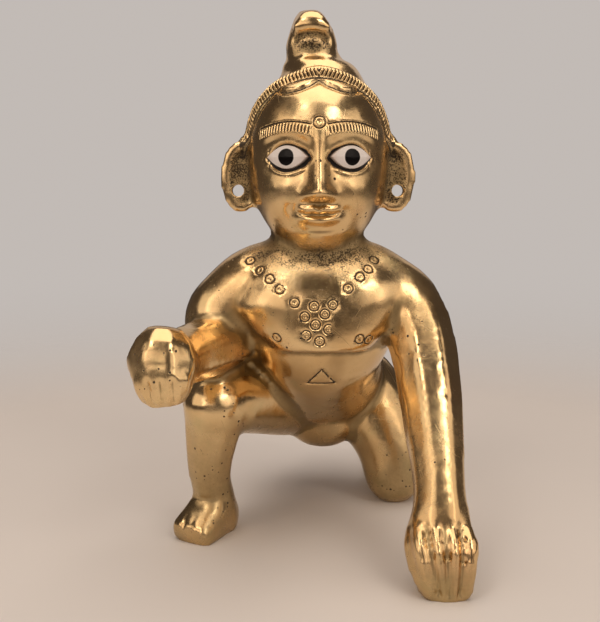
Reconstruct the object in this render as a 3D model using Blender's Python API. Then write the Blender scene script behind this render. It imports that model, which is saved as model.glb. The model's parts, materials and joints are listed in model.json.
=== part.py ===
"""A crawling laddu gopal idol in cast brass, with two enamel eyes set in its face.

The child rests on its left hand, left knee and right foot, and holds a sweet, the laddu, out in
its right hand. It looks along -Y. +X is the child's left and +Z is up. The origin is on the
floor, under the middle of the figure.
"""

import math

import bmesh
import bpy
import numpy as np
from mathutils import Matrix, Vector

HEIGHT = 0.120  # floor to the tip of the topknot
SHARES = 120.0  # the pose and carving are written in this many shares of the height
UNIT = HEIGHT / SHARES
OUTLINE_MIDDLE = (0.25, 5.0)  # middle of the figure's outline in X and Y, in shares

CAST_VOXEL = 0.7  # grain of the fused casting, in shares
CAST_TRIANGLES = 8800

MIDDLE = 4.0  # the body's middle plane, in X
CHIN, CROWN = 68.6, 105.4
EYE_LEVEL = (CHIN + CROWN) / 2
NOSE_FOOT = EYE_LEVEL - 0.47 * (EYE_LEVEL - CHIN)
LIP_LEVEL = NOSE_FOOT - (NOSE_FOOT - CHIN) / 3

EYE_LENGTH = 0.0090
EYE_OPENING = 0.0048
EYE_THICKNESS = 0.0018
EYE_GAP = 0.0003  # clearance of the enamel in its socket
EYE_DOME = 0.0005  # rise of the enamel over its rim
EYE_AT = (6.8, -24.6, EYE_LEVEL + 0.2)  # middle of an eye's front, off the middle plane
EYE_TURN = 23.0  # degrees an eye is turned outwards with the face

EAR_HOLE_AT = (17.9, 80.4)  # out from the middle plane, and up
EAR_HOLE_RADIUS = 0.00135

BRASS = (0.72, 0.50, 0.22)
ENAMEL = (0.86, 0.80, 0.78)


def clear_scene():
    for thing in list(bpy.data.objects):
        bpy.data.objects.remove(thing)


def through(points, steps):
    """Points of a smooth curve through the given rows of numbers."""
    rows = np.array(points, float)
    padded = np.vstack([2 * rows[0] - rows[1], rows, 2 * rows[-1] - rows[-2]])
    found = []
    for i in range(len(rows) - 1):
        a, b, c, d = padded[i : i + 4]
        for t in np.arange(steps) / steps:
            bend = 2 * a - 5 * b + 4 * c - d
            twist = 3 * b - a - 3 * c + d
            found.append(0.5 * (2 * b + (c - a) * t + bend * t**2 + twist * t**3))
    return np.array(found + [rows[-1]])


def rounded_ends(rows, start, end):
    """Adds shrinking sections past both ends. start and end are shares of the end's half width."""
    turns = np.radians([25, 48, 66, 80])
    out = list(rows)
    for share, at, inner in ((start, 0, 1), (end, -1, -2)):
        if not share:
            continue
        last = rows[at]
        along = last[:3] - rows[inner][:3]
        along /= np.linalg.norm(along)
        reach = share * min(last[3], last[4])
        for turn in turns:
            middle = last[:3] + along * reach * math.sin(turn)
            section = np.concatenate([middle, last[3:5] * math.cos(turn)])
            out.insert(0 if at == 0 else len(out), section)
    return np.array(out)


def add_mesh(bm, other):
    """Moves a bmesh into another."""
    held = bpy.data.meshes.new("held")
    other.to_mesh(held)
    other.free()
    bm.from_mesh(held)
    bpy.data.meshes.remove(held)


def loft(whole, sections, side=(1, 0, 0), power=2.0, sides=28, steps=4, start=1.0, end=1.0):
    """Adds a closed form through sections (x, y, z, half width, half depth), its width along side.
    Few sides make facets, and a flat one faces along the depth."""
    half_side = Matrix.Rotation(math.pi / sides, 4, "Z")
    rows = rounded_ends(through(sections, steps), start, end)
    centres = [Vector(row[:3]) for row in rows]
    bm = bmesh.new()
    before = None
    for i, row in enumerate(rows):
        ahead, behind = centres[min(i + 1, len(rows) - 1)], centres[max(i - 1, 0)]
        tangent = (ahead - behind).normalized()
        across = Vector(side) - tangent * tangent.dot(Vector(side))
        across.normalize()
        deep = tangent.cross(across)
        made = bmesh.ops.create_circle(bm, segments=sides, radius=1.0, matrix=half_side)["verts"]
        for vertex in made:
            c, s = vertex.co.x, vertex.co.y
            wide = math.copysign(abs(c) ** (2 / power), c) * row[3]
            thick = math.copysign(abs(s) ** (2 / power), s) * row[4]
            vertex.co = centres[i] + across * wide + deep * thick
        ring = list({edge for vertex in made for edge in vertex.link_edges})
        if before:
            bmesh.ops.bridge_loops(bm, edges=before + ring)
        else:
            bmesh.ops.edgeloop_fill(bm, edges=ring)
        before = ring
    bmesh.ops.edgeloop_fill(bm, edges=before)
    bmesh.ops.recalc_face_normals(bm, faces=bm.faces)
    add_mesh(whole, bm)


def ball(bm, centre, radii):
    """Adds an ellipsoid."""
    shape = Matrix.Translation(centre) @ Matrix.Diagonal((*radii, 1.0))
    bmesh.ops.create_icosphere(bm, subdivisions=4, radius=1.0, matrix=shape)


def rod(bm, points, side=(1, 0, 0), steps=4, start=1.0, end=1.0):
    """Adds a round rod through points (x, y, z, radius)."""
    rows = [(*point, point[3]) for point in points]
    loft(bm, rows, side=side, sides=14, steps=steps, start=start, end=end)


def torso(bm):
    """Seat, belly and ribs lean forward, and the chest stands upright above a crisp lower edge."""
    x = MIDDLE
    loft(bm, [
        (x + 1, 28, 25.5, 16.5, 12.0),
        (x + 1, 20, 31.5, 17.3, 14.3),
        (x, 8, 39.5, 16.0, 14.8),
        (x, -3, 48, 18.0, 15.0),
        (x, -9.5, 56.5, 20.5, 13.2),
        (x, -10, 63, 17.0, 10.5),
        (x, -9.5, 68, 11.5, 9.5),
        (x, -9.5, 73, 10.0, 10.0),
    ])
    loft(bm, [
        (x + 0.9, -14.4, 45.0, 10.2, 10.4),
        (x + 0.9, -14.2, 48.0, 13.4, 11.0),
        (x + 0.8, -14.0, 51.5, 16.6, 11.2),
        (x + 0.5, -13.5, 56, 19.2, 11.2),
        (x, -12.5, 61, 16.5, 10.0),
        (x, -11, 65.5, 12.0, 8.5),
    ], power=3.0, start=0)
    loft(bm, [
        (-17.8, -11.3, 52.5, 7.8, 8.0),
        (-15.0, -11.4, 56.0, 8.0, 8.0),
        (-10.5, -11.2, 59.9, 8.4, 7.8),
        (-4, -10.8, 62.3, 8.8, 7.6),
        (4, -10.5, 63.2, 9.0, 7.6),
        (12, -10.9, 62.3, 8.8, 7.6),
        (18, -11.8, 59.4, 8.3, 7.8),
        (22.8, -13.0, 55.9, 7.9, 8.0),
        (25.0, -14.5, 52.5, 7.6, 7.8),
    ], side=(0, 1, 0))
    loft(bm, [
        (x, -7, 76, 8.5, 6.5),
        (x, -4, 68, 11.5, 6.8),
        (x, -0.5, 62, 15.0, 6.8),
        (x, 4, 56, 15.5, 6.0),
        (x, 9, 50, 14.5, 5.0),
    ])
    for sideways in (-1, 1):
        ball(bm, (x + 1 + sideways * 5.8, 27.6, 27.6), (11.0, 12.2, 11.6))
    ball(bm, (x + 2.0, 19.0, 23.0), (11.0, 10.5, 9.6))


def left_arm(bm):
    """The straight arm that carries the child, filed to eight long facets."""
    loft(bm, [
        (22.3, -12.5, 56.5, 7.8, 7.9),
        (25.3, -15.0, 51.8, 8.1, 8.1),
        (27.0, -18.6, 46.5, 7.6, 7.7),
        (28, -24.5, 37.5, 7.1, 7.2),
        (28.4, -31, 27, 6.2, 6.4),
        (28.6, -36, 19, 5.6, 5.9),
        (28.4, -39, 13.5, 6.4, 5.4),
        (28.6, -40.3, 7, 6.3, 4.8),
        (29.2, -41.0, -2, 5.4, 4.7),
    ], sides=8)


LEFT_FINGERS = [
    [
        (28.4 + 3.1 * step, -42.6 + 0.6 * abs(step), 14.0 - 0.5 * abs(step), 1.45),
        (28.6 + 3.2 * step, -45.6 + 0.6 * abs(step), 10.8, 1.8),
        (28.9 + 2.8 * step, -46.9 + 0.5 * abs(step), 6.2, 1.7),
        (29.3 + 2.2 * step, -46.4 + 0.4 * abs(step), 1.4, 1.5),
    ]
    for step in (-1.5, -0.5, 0.5, 1.5)
]
LEFT_THUMB = [
    (24.0, -38.5, 13.5, 2.0), (22.9, -41.0, 9.4, 2.2), (23.8, -43.8, 4.8, 2.0), (25.4, -44.8, 1.2, 1.6),
]

RIGHT_FINGERS = [
    [
        (-26.4 + 2.0 * step, -44.6 + 0.2 * step**2, 38.6, 0.0),
        (-26.6 + 2.3 * step, -46.2 + 0.2 * step**2, 40.8, 0.0),
        (-26.8 + 2.5 * step, -46.7 + 0.2 * step**2, 43.6, 0.0),
    ]
    for step in (-2, -1, 0, 1, 2)
]
RIGHT_FOLD = [(-29.0, -46.9, 47.3, 0.0), (-25.6, -47.0, 47.1, 0.0)]
RIGHT_THUMB = [(-31.4, -33.0, 43.2, 2.1), (-32.6, -37.2, 45.2, 2.1), (-32.2, -41.0, 47.8, 1.8)]


def hands(bm):
    """Fingers of the standing left hand, and the right hand closed round the laddu."""
    for finger in LEFT_FINGERS + [LEFT_THUMB, RIGHT_THUMB]:
        rod(bm, finger)
    ball(bm, (29.3, -44.6, 1.6), (4.8, 3.0, 2.8))
    loft(bm, [
        (-26.4, -40.3, 39.6, 4.4, 4.6),
        (-26.6, -40.7, 41.6, 5.6, 5.5),
        (-26.8, -40.8, 44.2, 6.2, 5.9),
    ], power=2.8, start=0.25, end=0.1)
    loft(bm, [
        (-27.0, -39.8, 44.4, 6.9, 7.3),
        (-27.0, -39.6, 47.6, 7.0, 7.0),
        (-26.8, -39.2, 50.6, 5.9, 6.0),
        (-26.5, -38.8, 53.0, 3.7, 4.0),
    ], sides=8, start=0.08, end=0.15)


def right_arm(bm):
    """Upper arm at the side, and forearm forward over the knee to a palm that faces up."""
    loft(bm, [
        (-13.5, -11.3, 57.3, 7.8, 7.8),
        (-17.4, -11.2, 53.0, 8.2, 8.2),
        (-18.6, -9.0, 49.0, 7.8, 7.8),
        (-17.0, -5.5, 45.5, 7.0, 7.2),
    ], power=2.3)
    loft(bm, [
        (-15.5, -5, 46, 7.5, 7.3),
        (-18.2, -13, 46.2, 7.1, 7.0),
        (-21.6, -22, 46, 6.6, 6.7),
        (-24.5, -29, 45.6, 6.0, 6.2),
        (-26.3, -35, 44.6, 6.3, 5.4),
        (-27, -39.5, 43.4, 6.2, 4.2),
    ], sides=8)


RIGHT_TOE_LINE = (0.98, -0.2, 0.0)
RIGHT_TOE_GAPS = [
    [
        (-24.6 + 2.1 * step, -14.0 - 0.43 * step, 5.9),
        (-25.6 + 2.1 * step, -15.9 - 0.43 * step, 4.7),
        (-26.3 + 2.1 * step, -17.3 - 0.43 * step, 2.8),
        (-26.3 + 2.1 * step, -17.4 - 0.43 * step, 0.0),
    ]
    for step in (-1.5, -0.5, 0.5, 1.4)
]


def right_leg(bm):
    """Knee raised under the forearm, foot flat and turned out."""
    loft(bm, [
        (1.5, 25.5, 27.3, 12.4, 12.4),
        (-6.5, 13, 29.5, 11.4, 11.4),
        (-13.5, 0, 31.5, 9.8, 9.6),
        (-18.0, -9.5, 32, 8.4, 8.3),
        (-19.2, -12.5, 31.6, 7.7, 7.7),
    ], power=2.2)
    loft(bm, [
        (-19.3, -11, 33.5, 7.7, 7.8),
        (-20, -11.5, 27.5, 7.1, 7.3),
        (-20.9, -10.5, 20, 5.8, 6.3),
        (-21, -9, 13, 4.9, 5.6),
        (-20.2, -7.5, 8, 4.9, 5.6),
        (-19.4, -6.5, 3, 5.0, 5.4),
    ], sides=8)
    loft(bm, [
        (-19.0, -5.2, 3.1, 4.4, 4.3),
        (-20.6, -8.6, 4.6, 5.0, 6.0),
        (-22.9, -12.0, 3.1, 5.4, 4.8),
        (-25.3, -15.6, 1.7, 5.4, 3.1),
    ], side=RIGHT_TOE_LINE, power=2.8, end=0.35)


def left_leg(bm):
    """Kneeling: thigh down to the knee, shin along the floor, foot stretched out behind."""
    loft(bm, [
        (7, 26, 28, 12.4, 12.4),
        (14, 24, 27.5, 12.4, 12.2),
        (20, 20.5, 21.5, 10.4, 10.4),
        (23.6, 17.5, 13.5, 8.6, 9.0),
        (24.8, 16, 6.6, 7.7, 8.2),
    ], power=2.2)
    loft(bm, [
        (24.8, 15.5, 6.5, 7.5, 7.3),
        (25.2, 25, 6.2, 7.0, 7.1),
        (25.4, 34, 5.4, 6.0, 6.2),
        (25.6, 42, 4.5, 4.9, 5.3),
        (25.9, 47, 3.9, 5.1, 4.9),
        (26.2, 52, 2.8, 5.7, 3.8),
    ], power=2.2)
    toes(bm, Vector((26.4, 54.4, 2.0)), Vector((1, 0, 0)), Vector((0.06, 0.99, 0.0)), -1)


TOE_RADII = (2.1, 1.65, 1.5, 1.4, 1.3)  # from the big toe out


def toes(bm, middle, line, forward, big):
    """Five toes side by side along line; big is the end of it, 1 or -1, that the big toe is on."""
    at = 6.1 * big
    for i, radius in enumerate(TOE_RADII):
        root = middle + line * (at - radius * big) - forward * (1.6 + 0.5 * i)
        tip = root + forward * (3.6 - 0.4 * i)
        mid = (root + tip) / 2 + Vector((0, 0, 0.4))
        rod(bm, [(*root, radius), (*mid, radius), (*tip, radius * 0.9)])
        at -= 1.8 * radius * big


def skull(bm):
    """The head's egg, growing into the topknot on the crown."""
    x = MIDDLE
    loft(bm, [
        (x, -15.4, 68.8, 7.2, 7.4),
        (x, -14.9, 70.8, 9.4, 9.3),
        (x, -13.8, 74.2, 12.0, 11.8),
        (x, -12.4, 79.0, 14.3, 14.3),
        (x, -11.0, 85.0, 15.3, 15.9),
        (x, -10.0, 91.0, 15.3, 16.6),
        (x, -9.5, 96.5, 14.2, 15.7),
        (x, -9.2, 101.0, 12.1, 13.4),
        (x, -9.2, 104.6, 9.3, 10.3),
        (x - 0.4, -9.2, 107.2, 7.0, 7.8),
        (x - 0.6, -9.2, 109.0, 6.0, 6.6),
    ], steps=6, sides=72, start=0.5, end=0.3)


def topknot(bm):
    """A tapering knot of hair with a lobe folded forward over its front."""
    x = MIDDLE - 1.6
    loft(bm, [
        (x + 0.6, -9.0, 104.8, 8.6, 8.2),
        (x, -8.9, 107.4, 6.0, 6.1),
        (x, -8.9, 109.6, 5.5, 5.7),
        (x + 0.2, -9.1, 112.2, 5.8, 6.0),
        (x + 0.1, -9.6, 114.6, 5.2, 5.5),
        (x - 0.1, -10.3, 116.8, 4.1, 4.4),
        (x - 0.1, -11.0, 118.8, 2.9, 3.0),
    ], power=2.2, start=0, end=0.3)
    loft(bm, [
        (x, -12.3, 118.1, 2.6, 1.8),
        (x + 0.1, -13.3, 116.6, 3.8, 1.9),
        (x + 0.1, -13.9, 115.2, 4.5, 1.6),
    ], start=0.6, end=0.5)


def ear(bm, sideways):
    """A shell of an ear that stands out from the head, with a rim and a lobe."""
    x, y, z = MIDDLE + sideways * 17.2, -10.8, 83.4
    ball(bm, (x, y + 0.9, z), (4.3, 1.6, 7.9))
    ball(bm, (MIDDLE + sideways * EAR_HOLE_AT[0], y + 0.4, EAR_HOLE_AT[1]), (2.9, 1.5, 3.1))
    rim = [
        (x + sideways * 3.6 * math.cos(turn), y - 0.3, z + 7.1 * math.sin(turn), 1.05)
        for turn in np.radians(np.linspace(150, -110, 9))
    ]
    rod(bm, rim, side=(0, 1, 0))
    ball(bm, (x - sideways * 3.4, y - 0.6, z - 0.5), (1.4, 1.5, 2.4))


def forms():
    """Every form of the casting, overlapping and not yet fused."""
    bm = bmesh.new()
    for make in (torso, left_arm, right_arm, hands, right_leg, left_leg, skull, topknot):
        make(bm)
    for sideways in (-1, 1):
        ear(bm, sideways)
    return bm


def evaluated(obj):
    """The object's mesh with its modifiers applied; the object is removed."""
    bpy.context.view_layer.update()
    graph = bpy.context.evaluated_depsgraph_get()
    made = bpy.data.meshes.new_from_object(obj.evaluated_get(graph))
    bpy.data.objects.remove(obj)
    return made


def holding(mesh):
    holder = bpy.data.objects.new("holder", mesh)
    bpy.context.scene.collection.objects.link(holder)
    return holder


def fused(bm, voxel):
    """One skin around overlapping forms."""
    mesh = bpy.data.meshes.new("fused")
    bm.to_mesh(mesh)
    bm.free()
    holder = holding(mesh)
    skin = holder.modifiers.new("Fuse", "REMESH")
    skin.mode = "VOXEL"
    skin.voxel_size = voxel
    return evaluated(holder)


def points_of(mesh):
    co = np.empty(len(mesh.vertices) * 3)
    mesh.vertices.foreach_get("co", co)
    return co.reshape(-1, 3)


def put_points(mesh, co):
    mesh.vertices.foreach_set("co", np.ascontiguousarray(co, np.float32).ravel())
    mesh.update()


def relaxed(mesh, co, rounds, strength=None):
    """Points after rounds of smoothing that keep the volume. strength is 0 to 1 for each point."""
    ends = np.empty(len(mesh.edges) * 2, np.int64)
    mesh.edges.foreach_get("vertices", ends)
    a, b = ends.reshape(-1, 2).T
    links = np.bincount(np.concatenate([a, b]), minlength=len(co))[:, None].clip(1)
    weight = 1.0 if strength is None else strength[:, None]
    for _ in range(rounds):
        for pull in (0.5, -0.52):
            total = np.stack([
                np.bincount(a, co[b, k], len(co)) + np.bincount(b, co[a, k], len(co))
                for k in range(3)
            ], axis=1)
            co = co + weight * pull * (total / links - co)
    return co


SOFT_JOINTS = (  # middle and reach of where the limbs flow into the body
    ((22, -14, 56), 11), ((-14, -13, 56), 11), ((4, -8, 67), 11), ((13, 24, 30), 15),
    ((-4, 18, 31), 14), ((5, 36, 31), 15), ((28.6, -36, 20), 5), ((-25.5, -32, 45.5), 4),
    ((-20, -9, 8), 6), ((22.5, 45, 5), 5), ((24.5, 16, 9), 7), ((-19.5, -11.5, 31), 6),
    ((4, -8, 106), 6), ((3, -11, 117), 4), ((4, 4, 60), 17), ((4, 16, 48), 14),
    ((-9, 20, 26), 11), ((-17, -1, 48), 8), ((5, 28, 36), 12),
)


def ease(low, high, value):
    """0 below low, 1 above high, and smooth between."""
    t = np.clip((value - low) / (high - low), 0, 1)
    return t * t * (3 - 2 * t)


def hill(x, z, at, reach, shape=1.0):
    """A smooth hill of height 1 over the face."""
    return np.exp(-((((x - at[0]) / reach[0]) ** 2 + ((z - at[1]) / reach[1]) ** 2) ** shape))


def face_relief(x, z):
    """How far the face stands out, over the skull: a calm child's face on the usual canon, with the
    eyes half way up the head. x is off the middle plane, and both sides are alike."""
    x = np.abs(x)
    brow = EYE_LEVEL + 4.0 + 1.4 * (1 - ((x - 6.5) / 6.5) ** 2)
    line = LIP_LEVEL + 0.028 * x**2
    lips = np.clip(1 - (x / 4.8) ** 2, 0, 1) ** 0.7
    lid = np.clip(1 - ((x - EYE_AT[0]) / 5.2) ** 2, 0, 1)
    bow = 0.35 * np.exp(-(((x - 1.1) / 0.8) ** 2)) - 0.15 * np.exp(-((x / 0.5) ** 2))
    bridge, tip = EYE_LEVEL + 5.0, NOSE_FOOT + 1.5
    t = np.clip((bridge - z) / (bridge - tip), 0, 1)
    nose = (0.5 + 3.1 * t**1.4) * np.exp(-((x / (1.55 + 0.55 * t)) ** 2.2))
    nose *= ease(NOSE_FOOT - 0.9, NOSE_FOOT + 0.8, z) * ease(bridge + 3.0, bridge - 1.5, z)
    return (
        nose
        + 0.7 * hill(x, z, (0, tip + 0.3), (1.7, 1.6))
        + 1.35 * hill(x, z, (2.5, NOSE_FOOT + 1.1), (1.25, 1.3))
        - 1.25 * hill(x, z, (6.4, EYE_LEVEL + 0.2), (5.6, 3.7), 1.4)
        - 0.5 * hill(x, z, (2.9, EYE_LEVEL + 1.0), (1.5, 2.2))
        + 0.8 * np.exp(-(((z - brow) / 1.15) ** 2)) * ease(0.8, 3.2, x) * ease(13.5, 10.0, x)
        + 1.3 * hill(x, z, (8.0, NOSE_FOOT + 0.6), (4.6, 4.4))
        + 1.2 * hill(x, z, (0, LIP_LEVEL), (5.6, 4.2))
        + 0.95 * lips * np.exp(-(((z - line - 0.9 - bow) / 0.75) ** 2))
        + 1.15 * lips * np.exp(-(((z - line + 1.05) / 0.9) ** 2))
        - 0.75 * lips * np.exp(-(((z - line) / 0.3) ** 2))
        - 0.6 * hill(x, z, (5.3, LIP_LEVEL + 0.9), (1.0, 1.1))
        - 0.5 * hill(x, z, (0, LIP_LEVEL - 3.0), (3.4, 0.9))
        + 1.5 * hill(x, z, (0, CHIN + 2.4), (4.0, 2.4))
        + 0.55 * lid * np.exp(-(((z - EYE_LEVEL - 1.2 - 2.5 * lid) / 0.5) ** 2))
        + 0.35 * lid * np.exp(-(((z - EYE_LEVEL + 0.8 + 2.5 * lid) / 0.5) ** 2))
    )


def carve_face(co):
    x, y, z = co[:, 0] - MIDDLE, co[:, 1], co[:, 2]
    front = ease(-14.5, -19.0, y) * ease(CHIN - 2.5, CHIN - 0.5, z) * ease(17.0, 15.0, np.abs(x))
    out = np.stack([0.028 * x, -np.ones_like(x), np.zeros_like(x)], axis=1)
    return co + (front * face_relief(x, z))[:, None] * out, front


HAIRLINE = (  # degrees round from the front, and height, on one side; the other side is alike
    (0, 103.8), (9, 102.4), (20, 101.3), (31, 101.0), (41, 101.4), (48, 102.3), (60, 98.8),
    (72, 95.0), (82, 90.5), (92, 85.5), (108, 81.0), (135, 78.5), (180, 77.0),
)
PLAIT = (  # the same for the plaited band, which ends behind the ears
    (0, 105.3), (15, 105.0), (31, 104.3), (45, 103.4), (56, 102.0), (66, 99.9), (76, 96.8),
    (84, 93.2), (92, 89.0), (100, 84.0), (180, 70.0),
)
HAIR_RISE = 0.5  # the cap of hair over the skin
PLAIT_RISE = 0.75
PLAIT_WIDTH = 0.8  # half of it


def above_line(co, line):
    """Signed distance above a line round the head, for every point."""
    x, y = co[:, 0] - MIDDLE, co[:, 1] + 9.8
    turn = np.degrees(np.arctan2(np.abs(x), -y))
    turns, heights = np.array(line, float).T
    fine = np.linspace(0, 180, 181)
    height = np.interp(fine, turns, heights)
    height[2:-2] = sum(height[2 + k : len(height) - 2 + k] for k in range(-2, 3)) / 5
    slope = np.gradient(height, np.radians(fine)) / 13.5
    above = co[:, 2] - np.interp(turn, fine, height)
    return above / np.sqrt(1 + np.interp(turn, fine, slope) ** 2)


def on_head(co):
    """1 on the head above the jaw and off the ears, 0 elsewhere."""
    x, y, z = co[:, 0] - MIDDLE, co[:, 1], co[:, 2]
    round_middle = np.hypot(x / 15.6, (y + 9.8) / 17.5)
    return ease(74.0, 78.0, z) * ease(109.5, 107.5, z) * ease(1.16, 1.07, round_middle)


def carve_hair(co, normals):
    """The cap of hair stands over the skin, with a plaited band just above its edge."""
    above = above_line(co, HAIRLINE)
    plait = above_line(co, PLAIT)
    rise = (
        HAIR_RISE * ease(-0.25, 0.25, above)
        + PLAIT_RISE * np.exp(-((plait / PLAIT_WIDTH) ** 4))
        - 0.5 * np.exp(-(((plait + 1.25) / 0.45) ** 2)) * ease(-0.6, 0.2, above)
        - 0.4 * np.exp(-(((above + 0.35) / 0.4) ** 2))
    )
    return co + (on_head(co) * rise)[:, None] * normals


def carve_topknot(co, normals):
    """Under the lobe's arched edge, a hollow, a thin roll and a second smaller hollow."""
    x, z = co[:, 0] - MIDDLE + 1.5, co[:, 2]
    front = ease(0.1, 0.5, -normals[:, 1]) * ease(108.0, 109.0, z)
    arch = 114.0 - 0.09 * x**2
    depth = 1.0 * np.exp(-(((z - arch) / 0.8) ** 2)) * ease(4.6, 3.0, np.abs(x))
    depth += 0.9 * hill(x, z, (-0.1, 111.3), (2.4, 1.2), 1.6)
    return co + (front * depth)[:, None] * np.array((0.0, 1.0, 0.0))


def normals_of(mesh):
    found = np.empty(len(mesh.vertices) * 3, np.float32)
    mesh.vertex_normals.foreach_get("vector", found)
    return found.reshape(-1, 3).astype(float)


def along(co, path, reach):
    """Points within reach of a path, and how far each is from it."""
    path = np.array(path, float)[:, :3]
    near = np.where(((co > path.min(0) - reach) & (co < path.max(0) + reach)).all(axis=1))[0]
    best = np.full(len(near), np.inf)
    for a, b in zip(path[:-1], path[1:]):
        length = np.linalg.norm(b - a)
        step = (b - a) / length
        t = np.clip((co[near] - a) @ step, 0, length)
        best = np.minimum(best, np.linalg.norm(co[near] - a - t[:, None] * step, axis=1))
    kept = best < reach
    return near[kept], best[kept]


def press(co, normals, path, half_width, depth, reach):
    """Cuts a groove along a path that lies near the surface."""
    which, away = along(co, path, reach)
    co[which] -= (depth * np.exp(-((away / half_width) ** 2)))[:, None] * normals[which]


def between(first, second, lift):
    """The line half way between two fingers, moved by lift."""
    a, b = through(first, 4), through(second, 4)
    return (a[:, :3] + b[:, :3]) / 2 + np.array(lift, float)


def carve_fingers(co, normals):
    for first, second in zip(LEFT_FINGERS, LEFT_FINGERS[1:]):
        press(co, normals, between(first, second, (0, -1.2, 0.0)), 0.8, 1.0, 2.0)
    for line in RIGHT_FINGERS + [RIGHT_FOLD]:
        press(co, normals, line, 0.5, 0.45, 1.5)
    for line in RIGHT_TOE_GAPS:
        press(co, normals, line, 0.5, 0.5, 1.5)


def casting(voxel):
    """The fused figure as a mesh in shares: smoothed, most of all where limbs join, then carved."""
    mesh = fused(forms(), voxel)
    co = points_of(mesh)
    near = np.zeros(len(co))
    for middle, reach in SOFT_JOINTS:
        away = np.linalg.norm(co - np.array(middle, float), axis=1) / reach
        near = np.maximum(near, np.clip(1.6 - 1.2 * away, 0, 1))
    scale = 0.8 / voxel
    co = relaxed(mesh, co, max(2, round(3 * scale**2)))
    co = relaxed(mesh, co, round(30 * scale**2), near)
    co, front = carve_face(co)
    co = relaxed(mesh, co, 1, front)
    put_points(mesh, co)
    for carve in (carve_hair, carve_topknot):
        co = carve(co, normals_of(mesh))
        put_points(mesh, co)
    carve_fingers(co, normals_of(mesh))
    put_points(mesh, co)
    return mesh


def settle(mesh, faces):
    """Thins the mesh to about that many triangles and cuts it flat where it meets the floor."""
    holder = holding(mesh)
    thin = holder.modifiers.new("Thin", "DECIMATE")
    thin.ratio = faces / (2 * len(mesh.polygons))
    bm = bmesh.new()
    settled = evaluated(holder)
    bm.from_mesh(settled)
    everything = bm.verts[:] + bm.edges[:] + bm.faces[:]
    bmesh.ops.bisect_plane(
        bm, geom=everything, plane_co=(0, 0, 0), plane_no=(0, 0, 1), dist=0.0001, clear_inner=True
    )
    bmesh.ops.holes_fill(bm, edges=[edge for edge in bm.edges if edge.is_boundary])
    bmesh.ops.triangulate(bm, faces=bm.faces[:])
    bm.to_mesh(settled)
    bm.free()
    return settled


def eye(sideways, grow=0.0, ahead=None):
    """An almond of enamel in metres, or the socket for it: grown all round and carried ahead."""
    bm = bmesh.new()
    half_long = EYE_LENGTH / 2 + 1.37 * grow
    half_open = EYE_OPENING / 2 + grow
    rings = [(1.0, -EYE_THICKNESS - grow), (1.0, 0.0)]
    if ahead is None:
        rings += [(share, EYE_DOME * (1 - share**2)) for share in (0.8, 0.5, 0.2)]
    else:
        rings[1] = (1.0, ahead)
    before = None
    for share, forward in rings:
        made = bmesh.ops.create_circle(bm, segments=32, radius=1.0)["verts"]
        for vertex in made:
            u, v = vertex.co.x, vertex.co.y * abs(vertex.co.y)
            vertex.co = (u * half_long * share, -forward, v * half_open * share)
        ring = list({edge for vertex in made for edge in vertex.link_edges})
        if before:
            bmesh.ops.bridge_loops(bm, edges=before + ring)
        else:
            bmesh.ops.edgeloop_fill(bm, edges=ring)
        before = ring
    bmesh.ops.edgeloop_fill(bm, edges=before)
    bmesh.ops.recalc_face_normals(bm, faces=bm.faces)
    place = Vector((MIDDLE + sideways * EYE_AT[0], EYE_AT[1], EYE_AT[2])) * UNIT
    turn = Matrix.Rotation(math.radians(sideways * EYE_TURN), 4, "Z")
    bmesh.ops.transform(bm, matrix=Matrix.Translation(place) @ turn, verts=bm.verts)
    mesh = bpy.data.meshes.new("eye")
    bm.to_mesh(mesh)
    bm.free()
    return mesh


def ear_drill(sideways):
    """The round hole through an ear lobe, in metres."""
    bm = bmesh.new()
    place = Vector((MIDDLE + sideways * EAR_HOLE_AT[0], -10.5, EAR_HOLE_AT[1])) * UNIT
    bmesh.ops.create_cone(
        bm, cap_ends=True, segments=20, radius1=EAR_HOLE_RADIUS, radius2=EAR_HOLE_RADIUS,
        depth=0.010, matrix=Matrix.Translation(place) @ Matrix.Rotation(math.pi / 2, 4, "X"),
    )
    mesh = bpy.data.meshes.new("ear_drill")
    bm.to_mesh(mesh)
    bm.free()
    return mesh


def centred(mesh):
    """Moves a mesh so the origin is under the middle of the outline."""
    middle = Vector((*OUTLINE_MIDDLE, 0.0)) * UNIT
    mesh.transform(Matrix.Translation(-middle))
    return mesh


def linked(name, mesh, colour, metallic, roughness):
    obj = bpy.data.objects.new(name, centred(mesh))
    bpy.context.scene.collection.objects.link(obj)
    material = bpy.data.materials.new(name)
    material.use_nodes = True
    shader = material.node_tree.nodes["Principled BSDF"]
    shader.inputs["Base Color"].default_value = (*colour, 1.0)
    shader.inputs["Metallic"].default_value = metallic
    shader.inputs["Roughness"].default_value = roughness
    mesh.materials.clear()
    mesh.materials.append(material)
    return obj


def cut(obj, name, mesh):
    """Cuts the mesh out of the object."""
    cutter = bpy.data.objects.new(name, centred(mesh))
    bpy.context.scene.collection.objects.link(cutter)
    cutter.hide_render = True
    cutter.display_type = "WIRE"
    boolean = obj.modifiers.new(name, "BOOLEAN")
    boolean.operation = "DIFFERENCE"
    boolean.solver = "EXACT"
    boolean.object = cutter


def main():
    clear_scene()
    mesh = settle(casting(CAST_VOXEL), CAST_TRIANGLES)
    mesh.transform(Matrix.Scale(UNIT, 4))
    idol = linked("idol", mesh, BRASS, 1.0, 0.25)
    for side, sideways in (("left", 1), ("right", -1)):
        linked(f"{side}_eye", eye(sideways), ENAMEL, 0.0, 0.2)
        cut(idol, f"{side}_socket_cut", eye(sideways, EYE_GAP, 0.004))
        cut(idol, f"{side}_ear_cut", ear_drill(sideways))


if __name__ == "__main__":
    main()
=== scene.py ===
import json
import math

import bmesh
import bpy
import numpy as np
from mathutils import Matrix, Vector, noise
from mathutils.bvhtree import BVHTree

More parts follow.
